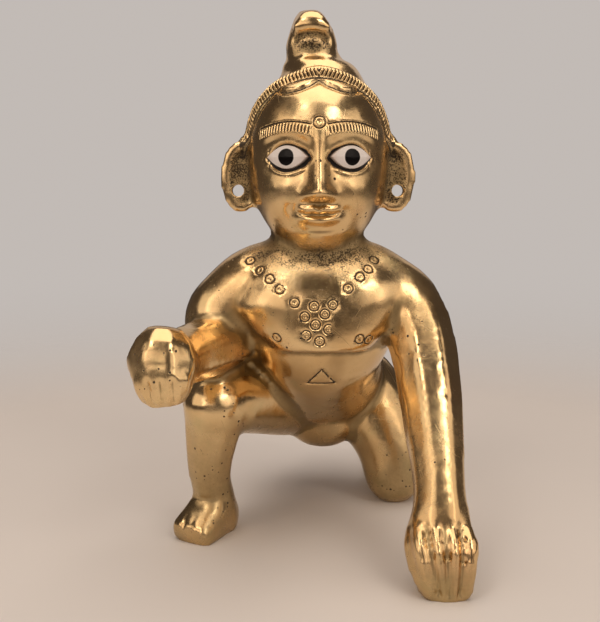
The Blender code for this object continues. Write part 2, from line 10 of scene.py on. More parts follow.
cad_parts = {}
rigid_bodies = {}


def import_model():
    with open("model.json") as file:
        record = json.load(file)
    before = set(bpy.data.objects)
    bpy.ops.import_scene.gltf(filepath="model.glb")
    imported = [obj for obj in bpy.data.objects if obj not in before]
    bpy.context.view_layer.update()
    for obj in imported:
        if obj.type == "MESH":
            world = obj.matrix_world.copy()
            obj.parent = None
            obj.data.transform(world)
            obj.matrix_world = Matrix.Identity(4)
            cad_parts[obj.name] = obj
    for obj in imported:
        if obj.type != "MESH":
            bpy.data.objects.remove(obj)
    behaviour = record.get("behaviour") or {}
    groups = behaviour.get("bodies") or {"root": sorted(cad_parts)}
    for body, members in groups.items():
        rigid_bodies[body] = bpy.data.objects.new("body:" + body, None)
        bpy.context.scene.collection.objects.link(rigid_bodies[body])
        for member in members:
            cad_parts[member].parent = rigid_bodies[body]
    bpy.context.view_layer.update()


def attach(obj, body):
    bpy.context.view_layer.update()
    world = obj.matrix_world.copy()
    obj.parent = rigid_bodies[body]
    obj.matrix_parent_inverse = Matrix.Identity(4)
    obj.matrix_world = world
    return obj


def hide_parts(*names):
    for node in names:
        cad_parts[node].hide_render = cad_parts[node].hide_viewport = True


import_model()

# Size and proportions

HEIGHT = 0.120  # floor to the tip of the topknot
SHARES = 120.0  # the pose and carving are written in this many shares of the height
UNIT = HEIGHT / SHARES
OUTLINE_MIDDLE = (0.25, 5.0)  # middle of the figure's outline in X and Y, in shares

GRAIN = 1.03  # grain of the fused casting before its carved places are made finer, in shares

MIDDLE = 4.0  # the body's middle plane, in X
HEAD_AXIS = -9.8  # where the head's upright axis stands, in Y
HEAD_HALF = 15.6  # half the head's width at the eyes
CHIN, CROWN = 68.6, 105.4
EYE_LEVEL = (CHIN + CROWN) / 2
NOSE_FOOT = EYE_LEVEL - 0.47 * (EYE_LEVEL - CHIN)
LIP_LEVEL = NOSE_FOOT - (NOSE_FOOT - CHIN) / 3

EYE_LENGTH = 0.0090
EYE_OPENING = 0.0048
EYE_THICKNESS = 0.0018
EYE_GAP = 0.00012  # clearance of the enamel in its socket
EYE_DOME = 0.0005  # rise of the enamel over its rim
EYE_AT = (6.8, -24.6, EYE_LEVEL + 0.2)  # middle of an eye's front, off the middle plane
EYE_TURN = 23.0  # degrees an eye is turned outwards with the face

EAR_AT = (17.2, -10.8, 83.4)  # middle of an ear, its X out from the middle plane
EAR_HOLE_AT = (17.9, 80.4)  # out from the middle plane, and up
EAR_HOLE_RADIUS = 0.00135


# Making forms


def through(points, steps):
    """Points of a smooth curve through the given rows of numbers."""
    rows = np.array(points, float)
    padded = np.vstack([2 * rows[0] - rows[1], rows, 2 * rows[-1] - rows[-2]])
    found = []
    for i in range(len(rows) - 1):
        a, b, c, d = padded[i : i + 4]
        for t in np.arange(steps) / steps:
            bend = 2 * a - 5 * b + 4 * c - d
            twist = 3 * b - a - 3 * c + d
            found.append(0.5 * (2 * b + (c - a) * t + bend * t**2 + twist * t**3))
    return np.array(found + [rows[-1]])


def rounded_ends(rows, start, end):
    """Adds shrinking sections past both ends. start and end are shares of the end's half width."""
    turns = np.radians([25, 48, 66, 80])
    out = list(rows)
    for share, at, inner in ((start, 0, 1), (end, -1, -2)):
        if not share:
            continue
        last = rows[at]
        along = last[:3] - rows[inner][:3]
        along /= np.linalg.norm(along)
        reach = share * min(last[3], last[4])
        for turn in turns:
            middle = last[:3] + along * reach * math.sin(turn)
            section = np.concatenate([middle, last[3:5] * math.cos(turn)])
            out.insert(0 if at == 0 else len(out), section)
    return np.array(out)


def add_mesh(bm, other):
    """Moves a bmesh into another."""
    held = mesh_from(other, "held")
    bm.from_mesh(held)
    bpy.data.meshes.remove(held)


def join_ring(bm, points, before):
    """Joins a ring of points to the edges of the ring before it, or closes it if it is the first."""
    ring = list({edge for point in points for edge in point.link_edges})
    if before:
        bmesh.ops.bridge_loops(bm, edges=before + ring)
    else:
        bmesh.ops.edgeloop_fill(bm, edges=ring)
    return ring


def close_rings(bm, last):
    bmesh.ops.edgeloop_fill(bm, edges=last)
    bmesh.ops.recalc_face_normals(bm, faces=bm.faces)


def mesh_from(bm, name):
    mesh = bpy.data.meshes.new(name)
    bm.to_mesh(mesh)
    bm.free()
    return mesh


def loft(whole, sections, side=(1, 0, 0), power=2.0, sides=28, steps=4, start=1.0, end=1.0):
    """Adds a closed form through sections (x, y, z, half width, half depth), its width along side.
    Few sides make facets, and a flat one faces along the depth."""
    half_side = Matrix.Rotation(math.pi / sides, 4, "Z")
    rows = rounded_ends(through(sections, steps), start, end)
    centres = [Vector(row[:3]) for row in rows]
    bm = bmesh.new()
    before = None
    for i, row in enumerate(rows):
        ahead, behind = centres[min(i + 1, len(rows) - 1)], centres[max(i - 1, 0)]
        tangent = (ahead - behind).normalized()
        across = Vector(side) - tangent * tangent.dot(Vector(side))
        across.normalize()
        deep = tangent.cross(across)
        made = bmesh.ops.create_circle(bm, segments=sides, radius=1.0, matrix=half_side)["verts"]
        for vertex in made:
            c, s = vertex.co.x, vertex.co.y
            wide = math.copysign(abs(c) ** (2 / power), c) * row[3]
            thick = math.copysign(abs(s) ** (2 / power), s) * row[4]
            vertex.co = centres[i] + across * wide + deep * thick
        before = join_ring(bm, made, before)
    close_rings(bm, before)
    add_mesh(whole, bm)


def ball(bm, centre, radii):
    """Adds an ellipsoid."""
    shape = Matrix.Translation(centre) @ Matrix.Diagonal((*radii, 1.0))
    bmesh.ops.create_icosphere(bm, subdivisions=4, radius=1.0, matrix=shape)


def rod(bm, points, side=(1, 0, 0), steps=4, start=1.0, end=1.0):
    """Adds a round rod through points (x, y, z, radius)."""
    rows = [(*point, point[3]) for point in points]
    loft(bm, rows, side=side, sides=14, steps=steps, start=start, end=end)


def torso(bm):
    """Seat, belly and ribs lean forward, and the chest stands upright above a crisp lower edge."""
    x = MIDDLE
    loft(bm, [
        (x + 1, 28, 25.5, 16.5, 12.0),
        (x + 1, 20, 31.5, 17.3, 14.3),
        (x, 8, 39.5, 16.0, 14.8),
        (x, -3, 48, 18.0, 15.0),
        (x, -9.5, 56.5, 20.5, 13.2),
        (x, -10, 63, 17.0, 10.5),
        (x, -9.5, 68, 11.5, 9.5),
        (x, -9.5, 73, 10.0, 10.0),
    ])
    loft(bm, [
        (x + 0.9, -14.4, 45.0, 10.2, 10.4),
        (x + 0.9, -14.2, 48.0, 13.4, 11.0),
        (x + 0.8, -14.0, 51.5, 16.6, 11.2),
        (x + 0.5, -13.5, 56, 19.2, 11.2),
        (x, -12.5, 61, 16.5, 10.0),
        (x, -11, 65.5, 12.0, 8.5),
    ], power=3.0, start=0)
    loft(bm, [
        (-17.8, -11.3, 52.5, 7.8, 8.0),
        (-15.0, -11.4, 56.0, 8.0, 8.0),
        (-10.5, -11.2, 59.9, 8.4, 7.8),
        (-4, -10.8, 62.3, 8.8, 7.6),
        (4, -10.5, 63.2, 9.0, 7.6),
        (12, -10.9, 62.3, 8.8, 7.6),
        (18, -11.8, 59.4, 8.3, 7.8),
        (22.8, -13.0, 55.9, 7.9, 8.0),
        (25.0, -14.5, 52.5, 7.6, 7.8),
    ], side=(0, 1, 0))
    loft(bm, [
        (x, -7, 76, 8.5, 6.5),
        (x, -4, 68, 11.5, 6.8),
        (x, -0.5, 62, 15.0, 6.8),
        (x, 4, 56, 15.5, 6.0),
        (x, 9, 50, 14.5, 5.0),
    ])
    for sideways in (-1, 1):
        ball(bm, (x + 1 + sideways * 5.8, 27.6, 27.6), (11.0, 12.2, 11.6))
    ball(bm, (x + 2.0, 19.0, 23.0), (11.0, 10.5, 9.6))


def left_arm(bm):
    """The straight arm that carries the child, filed to eight long facets."""
    loft(bm, [
        (22.3, -12.5, 56.5, 7.8, 7.9),
        (25.3, -15.0, 51.8, 8.1, 8.1),
        (27.0, -18.6, 46.5, 7.6, 7.7),
        (28, -24.5, 37.5, 7.1, 7.2),
        (28.4, -31, 27, 6.2, 6.4),
        (28.6, -36, 19, 5.6, 5.9),
        (28.4, -39, 13.5, 6.4, 5.4),
        (28.6, -40.3, 7, 6.3, 4.8),
        (29.2, -41.0, -2, 5.4, 4.7),
    ], sides=8)


LEFT_FINGERS = [
    [
        (28.4 + 3.1 * step, -42.6 + 0.6 * abs(step), 14.0 - 0.5 * abs(step), 1.45),
        (28.6 + 3.2 * step, -45.6 + 0.6 * abs(step), 10.8, 1.8),
        (28.9 + 2.8 * step, -46.9 + 0.5 * abs(step), 6.2, 1.7),
        (29.3 + 2.2 * step, -46.4 + 0.4 * abs(step), 1.4, 1.5),
    ]
    for step in (-1.5, -0.5, 0.5, 1.5)
]
LEFT_THUMB = [
    (24.0, -38.5, 13.5, 2.0), (22.9, -41.0, 9.4, 2.2), (23.8, -43.8, 4.8, 2.0), (25.4, -44.8, 1.2, 1.6),
]

RIGHT_FINGERS = [
    [
        (-26.4 + 2.0 * step, -44.6 + 0.2 * step**2, 38.6, 0.0),
        (-26.6 + 2.3 * step, -46.2 + 0.2 * step**2, 40.8, 0.0),
        (-26.8 + 2.5 * step, -46.7 + 0.2 * step**2, 43.6, 0.0),
    ]
    for step in (-2, -1, 0, 1, 2)
]
RIGHT_FOLD = [(-29.0, -46.9, 47.3, 0.0), (-25.6, -47.0, 47.1, 0.0)]
RIGHT_THUMB = [(-31.4, -33.0, 43.2, 2.1), (-32.6, -37.2, 45.2, 2.1), (-32.2, -41.0, 47.8, 1.8)]


def hands(bm):
    """Fingers of the standing left hand, and the right hand closed round the laddu."""
    for finger in LEFT_FINGERS + [LEFT_THUMB, RIGHT_THUMB]:
        rod(bm, finger)
    ball(bm, (29.3, -44.6, 1.6), (4.8, 3.0, 2.8))
    loft(bm, [
        (-26.4, -40.3, 39.6, 4.4, 4.6),
        (-26.6, -40.7, 41.6, 5.6, 5.5),
        (-26.8, -40.8, 44.2, 6.2, 5.9),
    ], power=2.8, start=0.25, end=0.1)
    loft(bm, [
        (-27.0, -39.8, 44.4, 6.9, 7.3),
        (-27.0, -39.6, 47.6, 7.0, 7.0),
        (-26.8, -39.2, 50.6, 5.9, 6.0),
        (-26.5, -38.8, 53.0, 3.7, 4.0),
    ], sides=8, start=0.08, end=0.15)


def right_arm(bm):
    """Upper arm at the side, and forearm forward over the knee to a palm that faces up."""
    loft(bm, [
        (-13.5, -11.3, 57.3, 7.8, 7.8),
        (-17.4, -11.2, 53.0, 8.2, 8.2),
        (-18.6, -9.0, 49.0, 7.8, 7.8),
        (-17.0, -5.5, 45.5, 7.0, 7.2),
    ], power=2.3)
    loft(bm, [
        (-15.5, -5, 46, 7.5, 7.3),
        (-18.2, -13, 46.2, 7.1, 7.0),
        (-21.6, -22, 46, 6.6, 6.7),
        (-24.5, -29, 45.6, 6.0, 6.2),
        (-26.3, -35, 44.6, 6.3, 5.4),
        (-27, -39.5, 43.4, 6.2, 4.2),
    ], sides=8)


RIGHT_TOE_LINE = (0.98, -0.2, 0.0)
RIGHT_TOE_GAPS = [
    [
        (-24.6 + 2.1 * step, -14.0 - 0.43 * step, 5.9),
        (-25.6 + 2.1 * step, -15.9 - 0.43 * step, 4.7),
        (-26.3 + 2.1 * step, -17.3 - 0.43 * step, 2.8),
        (-26.3 + 2.1 * step, -17.4 - 0.43 * step, 0.0),
    ]
    for step in (-1.5, -0.5, 0.5, 1.4)
]


def right_leg(bm):
    """Knee raised under the forearm, foot flat and turned out."""
    loft(bm, [
        (1.5, 25.5, 27.3, 12.4, 12.4),
        (-6.5, 13, 29.5, 11.4, 11.4),
        (-13.5, 0, 31.5, 9.8, 9.6),
        (-18.0, -9.5, 32, 8.4, 8.3),
        (-19.2, -12.5, 31.6, 7.7, 7.7),
    ], power=2.2)
    loft(bm, [
        (-19.3, -11, 33.5, 7.7, 7.8),
        (-20, -11.5, 27.5, 7.1, 7.3),
        (-20.9, -10.5, 20, 5.8, 6.3),
        (-21, -9, 13, 4.9, 5.6),
        (-20.2, -7.5, 8, 4.9, 5.6),
        (-19.4, -6.5, 3, 5.0, 5.4),
    ], sides=8)
    loft(bm, [
        (-19.0, -5.2, 3.1, 4.4, 4.3),
        (-20.6, -8.6, 4.6, 5.0, 6.0),
        (-22.9, -12.0, 3.1, 5.4, 4.8),
        (-25.3, -15.6, 1.7, 5.4, 3.1),
    ], side=RIGHT_TOE_LINE, power=2.8, end=0.35)


def left_leg(bm):
    """Kneeling: thigh down to the knee, shin along the floor, foot stretched out behind."""
    loft(bm, [
        (7, 26, 28, 12.4, 12.4),
        (14, 24, 27.5, 12.4, 12.2),
        (20, 20.5, 21.5, 10.4, 10.4),
        (23.6, 17.5, 13.5, 8.6, 9.0),
        (24.8, 16, 6.6, 7.7, 8.2),
    ], power=2.2)
    loft(bm, [
        (24.8, 15.5, 6.5, 7.5, 7.3),
        (25.2, 25, 6.2, 7.0, 7.1),
        (25.4, 34, 5.4, 6.0, 6.2),
        (25.6, 42, 4.5, 4.9, 5.3),
        (25.9, 47, 3.9, 5.1, 4.9),
        (26.2, 52, 2.8, 5.7, 3.8),
    ], power=2.2)
    toes(bm, Vector((26.4, 54.4, 2.0)), Vector((1, 0, 0)), Vector((0.06, 0.99, 0.0)), -1)


TOE_RADII = (2.1, 1.65, 1.5, 1.4, 1.3)  # from the big toe out


def toes(bm, middle, line, forward, big):
    """Five toes side by side along line; big is the end of it, 1 or -1, that the big toe is on."""
    at = 6.1 * big
    for i, radius in enumerate(TOE_RADII):
        root = middle + line * (at - radius * big) - forward * (1.6 + 0.5 * i)
        tip = root + forward * (3.6 - 0.4 * i)
        mid = (root + tip) / 2 + Vector((0, 0, 0.4))
        rod(bm, [(*root, radius), (*mid, radius), (*tip, radius * 0.9)])
        at -= 1.8 * radius * big


def skull(bm):
    """The head's egg, growing into the topknot on the crown."""
    x = MIDDLE
    loft(bm, [
        (x, -15.4, 68.8, 7.2, 7.4),
        (x, -14.9, 70.8, 9.4, 9.3),
        (x, -13.8, 74.2, 12.0, 11.8),
        (x, -12.4, 79.0, 14.3, 14.3),
        (x, -11.0, 85.0, 15.3, 15.9),
        (x, -10.0, 91.0, 15.3, 16.6),
        (x, -9.5, 96.5, 14.2, 15.7),
        (x, -9.2, 101.0, 12.1, 13.4),
        (x, -9.2, 104.6, 9.3, 10.3),
        (x - 0.4, -9.2, 107.2, 7.0, 7.8),
        (x - 0.6, -9.2, 109.0, 6.0, 6.6),
    ], steps=6, sides=72, start=0.5, end=0.3)


def topknot(bm):
    """A tapering knot of hair with a lobe folded forward over its front."""
    x = MIDDLE - 1.6
    loft(bm, [
        (x + 0.6, -9.0, 104.8, 8.6, 8.2),
        (x, -8.9, 107.4, 6.0, 6.1),
        (x, -8.9, 109.6, 5.5, 5.7),
        (x + 0.2, -9.1, 112.2, 5.8, 6.0),
        (x + 0.1, -9.6, 114.6, 5.2, 5.5),
        (x - 0.1, -10.3, 116.8, 4.1, 4.4),
        (x - 0.1, -11.0, 118.8, 2.9, 3.0),
    ], power=2.2, start=0, end=0.3)
    loft(bm, [
        (x, -12.3, 118.1, 2.6, 1.8),
        (x + 0.1, -13.3, 116.6, 3.8, 1.9),
        (x + 0.1, -13.9, 115.2, 4.5, 1.6),
    ], start=0.6, end=0.5)


def ear(bm, sideways):
    """A shell of an ear that stands out from the head, with a rim and a lobe."""
    x, y, z = MIDDLE + sideways * EAR_AT[0], EAR_AT[1], EAR_AT[2]
    ball(bm, (x, y + 0.9, z), (4.3, 1.6, 7.9))
    ball(bm, (MIDDLE + sideways * EAR_HOLE_AT[0], y + 0.4, EAR_HOLE_AT[1]), (2.9, 1.5, 3.1))
    rim = [
        (x + sideways * 3.6 * math.cos(turn), y - 0.3, z + 7.1 * math.sin(turn), 1.05)
        for turn in np.radians(np.linspace(150, -110, 9))
    ]
    rod(bm, rim, side=(0, 1, 0))
    ball(bm, (x - sideways * 3.4, y - 0.6, z - 0.5), (1.4, 1.5, 2.4))


def forms():
    """Every form of the casting, overlapping and not yet fused."""
    bm = bmesh.new()
    for make in (torso, left_arm, right_arm, hands, right_leg, left_leg, skull, topknot):
        make(bm)
    for sideways in (-1, 1):
        ear(bm, sideways)
    return bm


def evaluated(obj):
    """The object's mesh with its modifiers applied; the object is removed."""
    bpy.context.view_layer.update()
    graph = bpy.context.evaluated_depsgraph_get()
    made = bpy.data.meshes.new_from_object(obj.evaluated_get(graph))
    bpy.data.objects.remove(obj)
    return made


def holding(mesh):
    holder = bpy.data.objects.new("holder", mesh)
    bpy.context.scene.collection.objects.link(holder)
    return holder


def fused(bm, voxel):
    """One skin around overlapping forms."""
    holder = holding(mesh_from(bm, "fused"))
    skin = holder.modifiers.new("Fuse", "REMESH")
    skin.mode = "VOXEL"
    skin.voxel_size = voxel
    return evaluated(holder)


def points_of(mesh):
    co = np.empty(len(mesh.vertices) * 3)
    mesh.vertices.foreach_get("co", co)
    return co.reshape(-1, 3)


def put_points(mesh, co):
    mesh.vertices.foreach_set("co", np.ascontiguousarray(co, np.float32).ravel())
    mesh.update()


def neighbour_mean(mesh):
    """A function that gives the mean of a value over every point's neighbours."""
    ends = np.empty(len(mesh.edges) * 2, np.int64)
    mesh.edges.foreach_get("vertices", ends)
    a, b = ends.reshape(-1, 2).T
    count = len(mesh.vertices)
    links = np.bincount(np.concatenate([a, b]), minlength=count).clip(1)
    return lambda value: (np.bincount(a, value[b], count) + np.bincount(b, value[a], count)) / links


def relaxed(mesh, co, rounds, strength=None):
    """Points after rounds of smoothing that keep the volume. strength is 0 to 1 for each point."""
    mean = neighbour_mean(mesh)
    weight = 1.0 if strength is None else strength[:, None]
    for _ in range(rounds):
        for pull in (0.5, -0.52):
            means = np.stack([mean(co[:, k]) for k in range(3)], axis=1)
            co = co + weight * pull * (means - co)
    return co


SOFT_JOINTS = (  # middle and reach of where the limbs flow into the body
    ((22, -14, 56), 11), ((-14, -13, 56), 11), ((4, -8, 67), 11), ((13, 24, 30), 15),
    ((-4, 18, 31), 14), ((5, 36, 31), 15), ((28.6, -36, 20), 5), ((-25.5, -32, 45.5), 4),
    ((-20, -9, 8), 6), ((22.5, 45, 5), 5), ((24.5, 16, 9), 7), ((-19.5, -11.5, 31), 6),
    ((4, -8, 106), 6), ((3, -11, 117), 4), ((4, 4, 60), 17), ((4, 16, 48), 14),
    ((-9, 20, 26), 11), ((-17, -1, 48), 8), ((5, 28, 36), 12),
)


def ease(low, high, value):
    """0 below low, 1 above high, and smooth between."""
    t = np.clip((value - low) / (high - low), 0, 1)
    return t * t * (3 - 2 * t)


def off_middle(co):
    """X off the body's middle plane, Y and Z of every point."""
    return co[:, 0] - MIDDLE, co[:, 1], co[:, 2]


def hill(x, z, at, reach, shape=1.0):
    """A smooth hill of height 1 over the face."""
    return np.exp(-((((x - at[0]) / reach[0]) ** 2 + ((z - at[1]) / reach[1]) ** 2) ** shape))


def face_relief(x, z):
    """How far the face stands out, over the skull: a calm child's face on the usual canon, with the
    eyes half way up the head. x is off the middle plane, and both sides are alike."""
    x = np.abs(x)
    brow = EYE_LEVEL + 4.0 + 1.4 * (1 - ((x - 6.5) / 6.5) ** 2)
    line = LIP_LEVEL + 0.028 * x**2
    lips = np.clip(1 - (x / 4.8) ** 2, 0, 1) ** 0.7
    lid = np.clip(1 - ((x - EYE_AT[0]) / 5.2) ** 2, 0, 1)
    bow = 0.35 * np.exp(-(((x - 1.1) / 0.8) ** 2)) - 0.15 * np.exp(-((x / 0.5) ** 2))
    bridge, tip = EYE_LEVEL + 5.0, NOSE_FOOT + 1.5
    t = np.clip((bridge - z) / (bridge - tip), 0, 1)
    nose = (0.5 + 3.1 * t**1.4) * np.exp(-((x / (1.55 + 0.55 * t)) ** 2.2))
    nose *= ease(NOSE_FOOT - 0.9, NOSE_FOOT + 0.8, z) * ease(bridge + 3.0, bridge - 1.5, z)
    return (
        nose
        + 0.7 * hill(x, z, (0, tip + 0.3), (1.7, 1.6))
        + 1.35 * hill(x, z, (2.5, NOSE_FOOT + 1.1), (1.25, 1.3))
        - 1.25 * hill(x, z, (6.4, EYE_LEVEL + 0.2), (5.6, 3.7), 1.4)
        - 0.5 * hill(x, z, (2.9, EYE_LEVEL + 1.0), (1.5, 2.2))
        + 0.8 * np.exp(-(((z - brow) / 1.15) ** 2)) * ease(0.8, 3.2, x) * ease(13.5, 10.0, x)
        + 1.3 * hill(x, z, (8.0, NOSE_FOOT + 0.6), (4.6, 4.4))
        + 1.2 * hill(x, z, (0, LIP_LEVEL), (5.6, 4.2))
        + 0.95 * lips * np.exp(-(((z - line - 0.9 - bow) / 0.75) ** 2))
        + 1.15 * lips * np.exp(-(((z - line + 1.05) / 0.9) ** 2))
        - 0.75 * lips * np.exp(-(((z - line) / 0.3) ** 2))
        - 0.6 * hill(x, z, (5.3, LIP_LEVEL + 0.9), (1.0, 1.1))
        - 0.5 * hill(x, z, (0, LIP_LEVEL - 3.0), (3.4, 0.9))
        + 1.5 * hill(x, z, (0, CHIN + 2.4), (4.0, 2.4))
        + 0.55 * lid * np.exp(-(((z - EYE_LEVEL - 1.2 - 2.5 * lid) / 0.5) ** 2))
        + 0.35 * lid * np.exp(-(((z - EYE_LEVEL + 0.8 + 2.5 * lid) / 0.5) ** 2))
    )


def carve_face(co):
    x, y, z = off_middle(co)
    front = ease(-14.5, -19.0, y) * ease(CHIN - 2.5, CHIN - 0.5, z) * ease(17.0, 15.0, np.abs(x))
    out = np.stack([0.028 * x, -np.ones_like(x), np.zeros_like(x)], axis=1)
    return co + (front * face_relief(x, z))[:, None] * out


HAIRLINE = (  # degrees round from the front, and height, on one side; the other side is alike
    (0, 103.8), (9, 102.4), (20, 101.3), (31, 101.0), (41, 101.4), (48, 102.3), (60, 98.8),
    (72, 95.0), (82, 90.5), (92, 85.5), (108, 81.0), (135, 78.5), (180, 77.0),
)
PLAIT = (  # the same for the plaited band, which ends behind the ears
    (0, 105.3), (15, 105.0), (31, 104.3), (45, 103.4), (56, 102.0), (66, 99.9), (76, 96.8),
    (84, 93.2), (92, 89.0), (100, 84.0), (180, 70.0),
)
HAIR_RISE = 0.5  # the cap of hair over the skin
PLAIT_RISE = 0.75
PLAIT_WIDTH = 0.8  # half of it
PLAIT_PITCH = 0.78  # from one stroke across it to the next
BROW_PITCH = 0.76


def above_line(co, line):
    """Signed distance above a line round the head, for every point."""
    x, y = co[:, 0] - MIDDLE, co[:, 1] - HEAD_AXIS
    turn = np.degrees(np.arctan2(np.abs(x), -y))
    turns, heights = np.array(line, float).T
    fine = np.linspace(0, 180, 181)
    height = np.interp(fine, turns, heights)
    height[2:-2] = sum(height[2 + k : len(height) - 2 + k] for k in range(-2, 3)) / 5
    slope = np.gradient(height, np.radians(fine)) / 13.5
    above = co[:, 2] - np.interp(turn, fine, height)
    return above / np.sqrt(1 + np.interp(turn, fine, slope) ** 2)


def on_head(co):
    """1 on the head above the jaw and off the ears, 0 elsewhere."""
    x, y, z = off_middle(co)
    round_middle = np.hypot(x / HEAD_HALF, (y - HEAD_AXIS) / 17.5)
    return ease(74.0, 78.0, z) * ease(109.5, 107.5, z) * ease(1.16, 1.07, round_middle)


def carve_hair(co, normals):
    """The cap of hair stands over the skin, with a plaited band just above its edge."""
    above = above_line(co, HAIRLINE)
    plait = above_line(co, PLAIT)
    rise = (
        HAIR_RISE * ease(-0.25, 0.25, above)
        + PLAIT_RISE * np.exp(-((plait / PLAIT_WIDTH) ** 4))
        - 0.5 * np.exp(-(((plait + 1.25) / 0.45) ** 2)) * ease(-0.6, 0.2, above)
        - 0.4 * np.exp(-(((above + 0.35) / 0.4) ** 2))
    )
    return co + (on_head(co) * rise)[:, None] * normals


def carve_topknot(co, normals):
    """Under the lobe's arched edge, a hollow, a thin roll and a second smaller hollow."""
    x, z = co[:, 0] - MIDDLE + 1.5, co[:, 2]
    front = ease(0.1, 0.5, -normals[:, 1]) * ease(108.0, 109.0, z)
    arch = 114.0 - 0.09 * x**2
    depth = 1.0 * np.exp(-(((z - arch) / 0.8) ** 2)) * ease(4.6, 3.0, np.abs(x))
    depth += 0.9 * hill(x, z, (-0.1, 111.3), (2.4, 1.2), 1.6)
    return co + (front * depth)[:, None] * np.array((0.0, 1.0, 0.0))


def normals_of(mesh):
    found = np.empty(len(mesh.vertices) * 3, np.float32)
    mesh.vertex_normals.foreach_get("vector", found)
    return found.reshape(-1, 3).astype(float)


def along(co, path, reach):
    """Points within reach of a path, and how far each is from it."""
    path = np.array(path, float)[:, :3]
    near = np.where(((co > path.min(0) - reach) & (co < path.max(0) + reach)).all(axis=1))[0]
    best = np.full(len(near), np.inf)
    for a, b in zip(path[:-1], path[1:]):
        length = np.linalg.norm(b - a)
        step = (b - a) / length
        t = np.clip((co[near] - a) @ step, 0, length)
        best = np.minimum(best, np.linalg.norm(co[near] - a - t[:, None] * step, axis=1))
    kept = best < reach
    return near[kept], best[kept]


def press(co, normals, path, half_width, depth, reach):
    """Cuts a groove along a path that lies near the surface."""
    which, away = along(co, path, reach)
    co[which] -= (depth * np.exp(-((away / half_width) ** 2)))[:, None] * normals[which]


def between(first, second, lift):
    """The line half way between two fingers, moved by lift."""
    a, b = through(first, 4), through(second, 4)
    return (a[:, :3] + b[:, :3]) / 2 + np.array(lift, float)


def carve_fingers(co, normals):
    for first, second in zip(LEFT_FINGERS, LEFT_FINGERS[1:]):
        press(co, normals, between(first, second, (0, -1.2, 0.0)), 0.75, 1.15, 2.0)
    for line in RIGHT_FINGERS + [RIGHT_FOLD]:
        press(co, normals, line, 0.5, 0.8, 1.8)
    for line in RIGHT_TOE_GAPS:
        press(co, normals, line, 0.42, 0.55, 1.5)


# Engraving

RING_RADIUS, RING_DEPTH = 1.05, 0.26
TILAK_RADIUS, TILAK_DEPTH = 1.3, 0.36
RINGS = (
    [(-11.0, 65.2), (-8.8, 63.2), (-6.6, 61.5), (-4.4, 59.4), (-1.2, 56.6)]
    + [(16.2, 65.4), (14.8, 63.6), (12.9, 62.0), (10.3, 59.6)]
    + [(3.0, 55.9), (7.0, 56.2), (1.0, 53.6), (5.3, 54.2), (3.3, 51.9), (6.1, 50.9), (1.3, 49.6), (4.2, 48.3)]
    + [(-5.1, 48.8), (14.9, 48.3), (12.9, 48.6)]
)
TRIANGLE = [(4.9, 40.3), (1.6, 36.5), (8.1, 36.5)]
TRIANGLE_SIDES = list(zip(TRIANGLE, TRIANGLE[1:] + TRIANGLE[:1]))
TILAK = (MIDDLE, EYE_LEVEL + 7.3)  # the ring between the brows
PITS = [  # across, up and size
    (30.7, 38.4, 0.5), (28.0, 12.1, 0.4), (-18.9, 17.2, 0.5),
    (26.5, 44.0, 0.3), (-24.0, 53.2, 0.6), (-16.0, 36.4, 0.5),
]


def off_line(x, z, first, last):
    """Distance from a straight line, seen from the front."""
    a, b = np.array(first, float), np.array(last, float)
    length = np.linalg.norm(b - a)
    step = (b - a) / length
    t = np.clip((x - a[0]) * step[0] + (z - a[1]) * step[1], 0, length)
    return np.hypot(x - a[0] - t * step[0], z - a[1] - t * step[1])


def skin_of(mesh):
    """The mesh as a tree that rays can be cast at."""
    bm = bmesh.new()
    bm.from_mesh(mesh)
    tree = BVHTree.FromBMesh(bm)
    bm.free()
    return tree


def surface_points(mesh, places):
    """The skin's front point at each (x, z)."""
    tree = skin_of(mesh)
    hits = [tree.ray_cast(Vector((x, -80, z)), Vector((0, 1, 0)))[0] for x, z in places]
    return [np.array(hit) for hit in hits if hit]


def ring_mark(co, at, radius, depth):
    """How deep a punched ring with a dot in it cuts, for every point."""
    away = np.linalg.norm(co - at, axis=1)
    groove = np.exp(-(((away - radius) / 0.21) ** 2))
    dot = np.exp(-((away / 0.34) ** 2))
    return depth * (groove + 0.7 * dot)


def run_round_head(co, line):
    """Length along a line round the head from the front, for every point."""
    x, y = co[:, 0] - MIDDLE, co[:, 1] - HEAD_AXIS
    turn = np.degrees(np.arctan2(np.abs(x), -y))
    turns, heights = np.array(line, float).T
    fine = np.radians(np.linspace(0, 180, 361))
    height = np.interp(fine, np.radians(turns), heights)
    reach = np.interp(height, (77, 85, 91, 96.5, 101, 104.6, 107), (14, 15.6, 16, 15, 12.7, 9.8, 7.4))
    points = np.stack([reach * np.sin(fine), -reach * np.cos(fine), height], axis=1)
    gone = np.concatenate([[0], np.cumsum(np.linalg.norm(np.diff(points, axis=0), axis=1))])
    return np.interp(np.radians(turn), fine, gone)


def strokes(run, pitch, share):
    """1 in the cut between two strokes, 0 on a stroke."""
    phase = np.abs((run / pitch) % 1.0 - 0.5) * 2
    return ease(1.0 - share, 1.0, phase)


def engrave_hair(co):
    """Slanting strokes across the plait, with the dark lines under it and at the edge of the hair."""
    plait = above_line(co, PLAIT)
    head = (on_head(co) > 0.3) * ease(-1.0, -2.5, co[:, 1])
    run = run_round_head(co, PLAIT) - 0.35 * plait
    cut = 0.34 * np.exp(-((plait / 0.95) ** 6)) * head * strokes(run, PLAIT_PITCH, 0.75)
    under = np.exp(-(((plait + 1.3) / 0.5) ** 2)) * head
    edge = np.exp(-(((above_line(co, HAIRLINE) + 0.3) / 0.22) ** 2)) * head * ease(-6, -9, co[:, 1])
    return cut, np.maximum(np.maximum(cut / 0.3, 0.8 * under), edge)


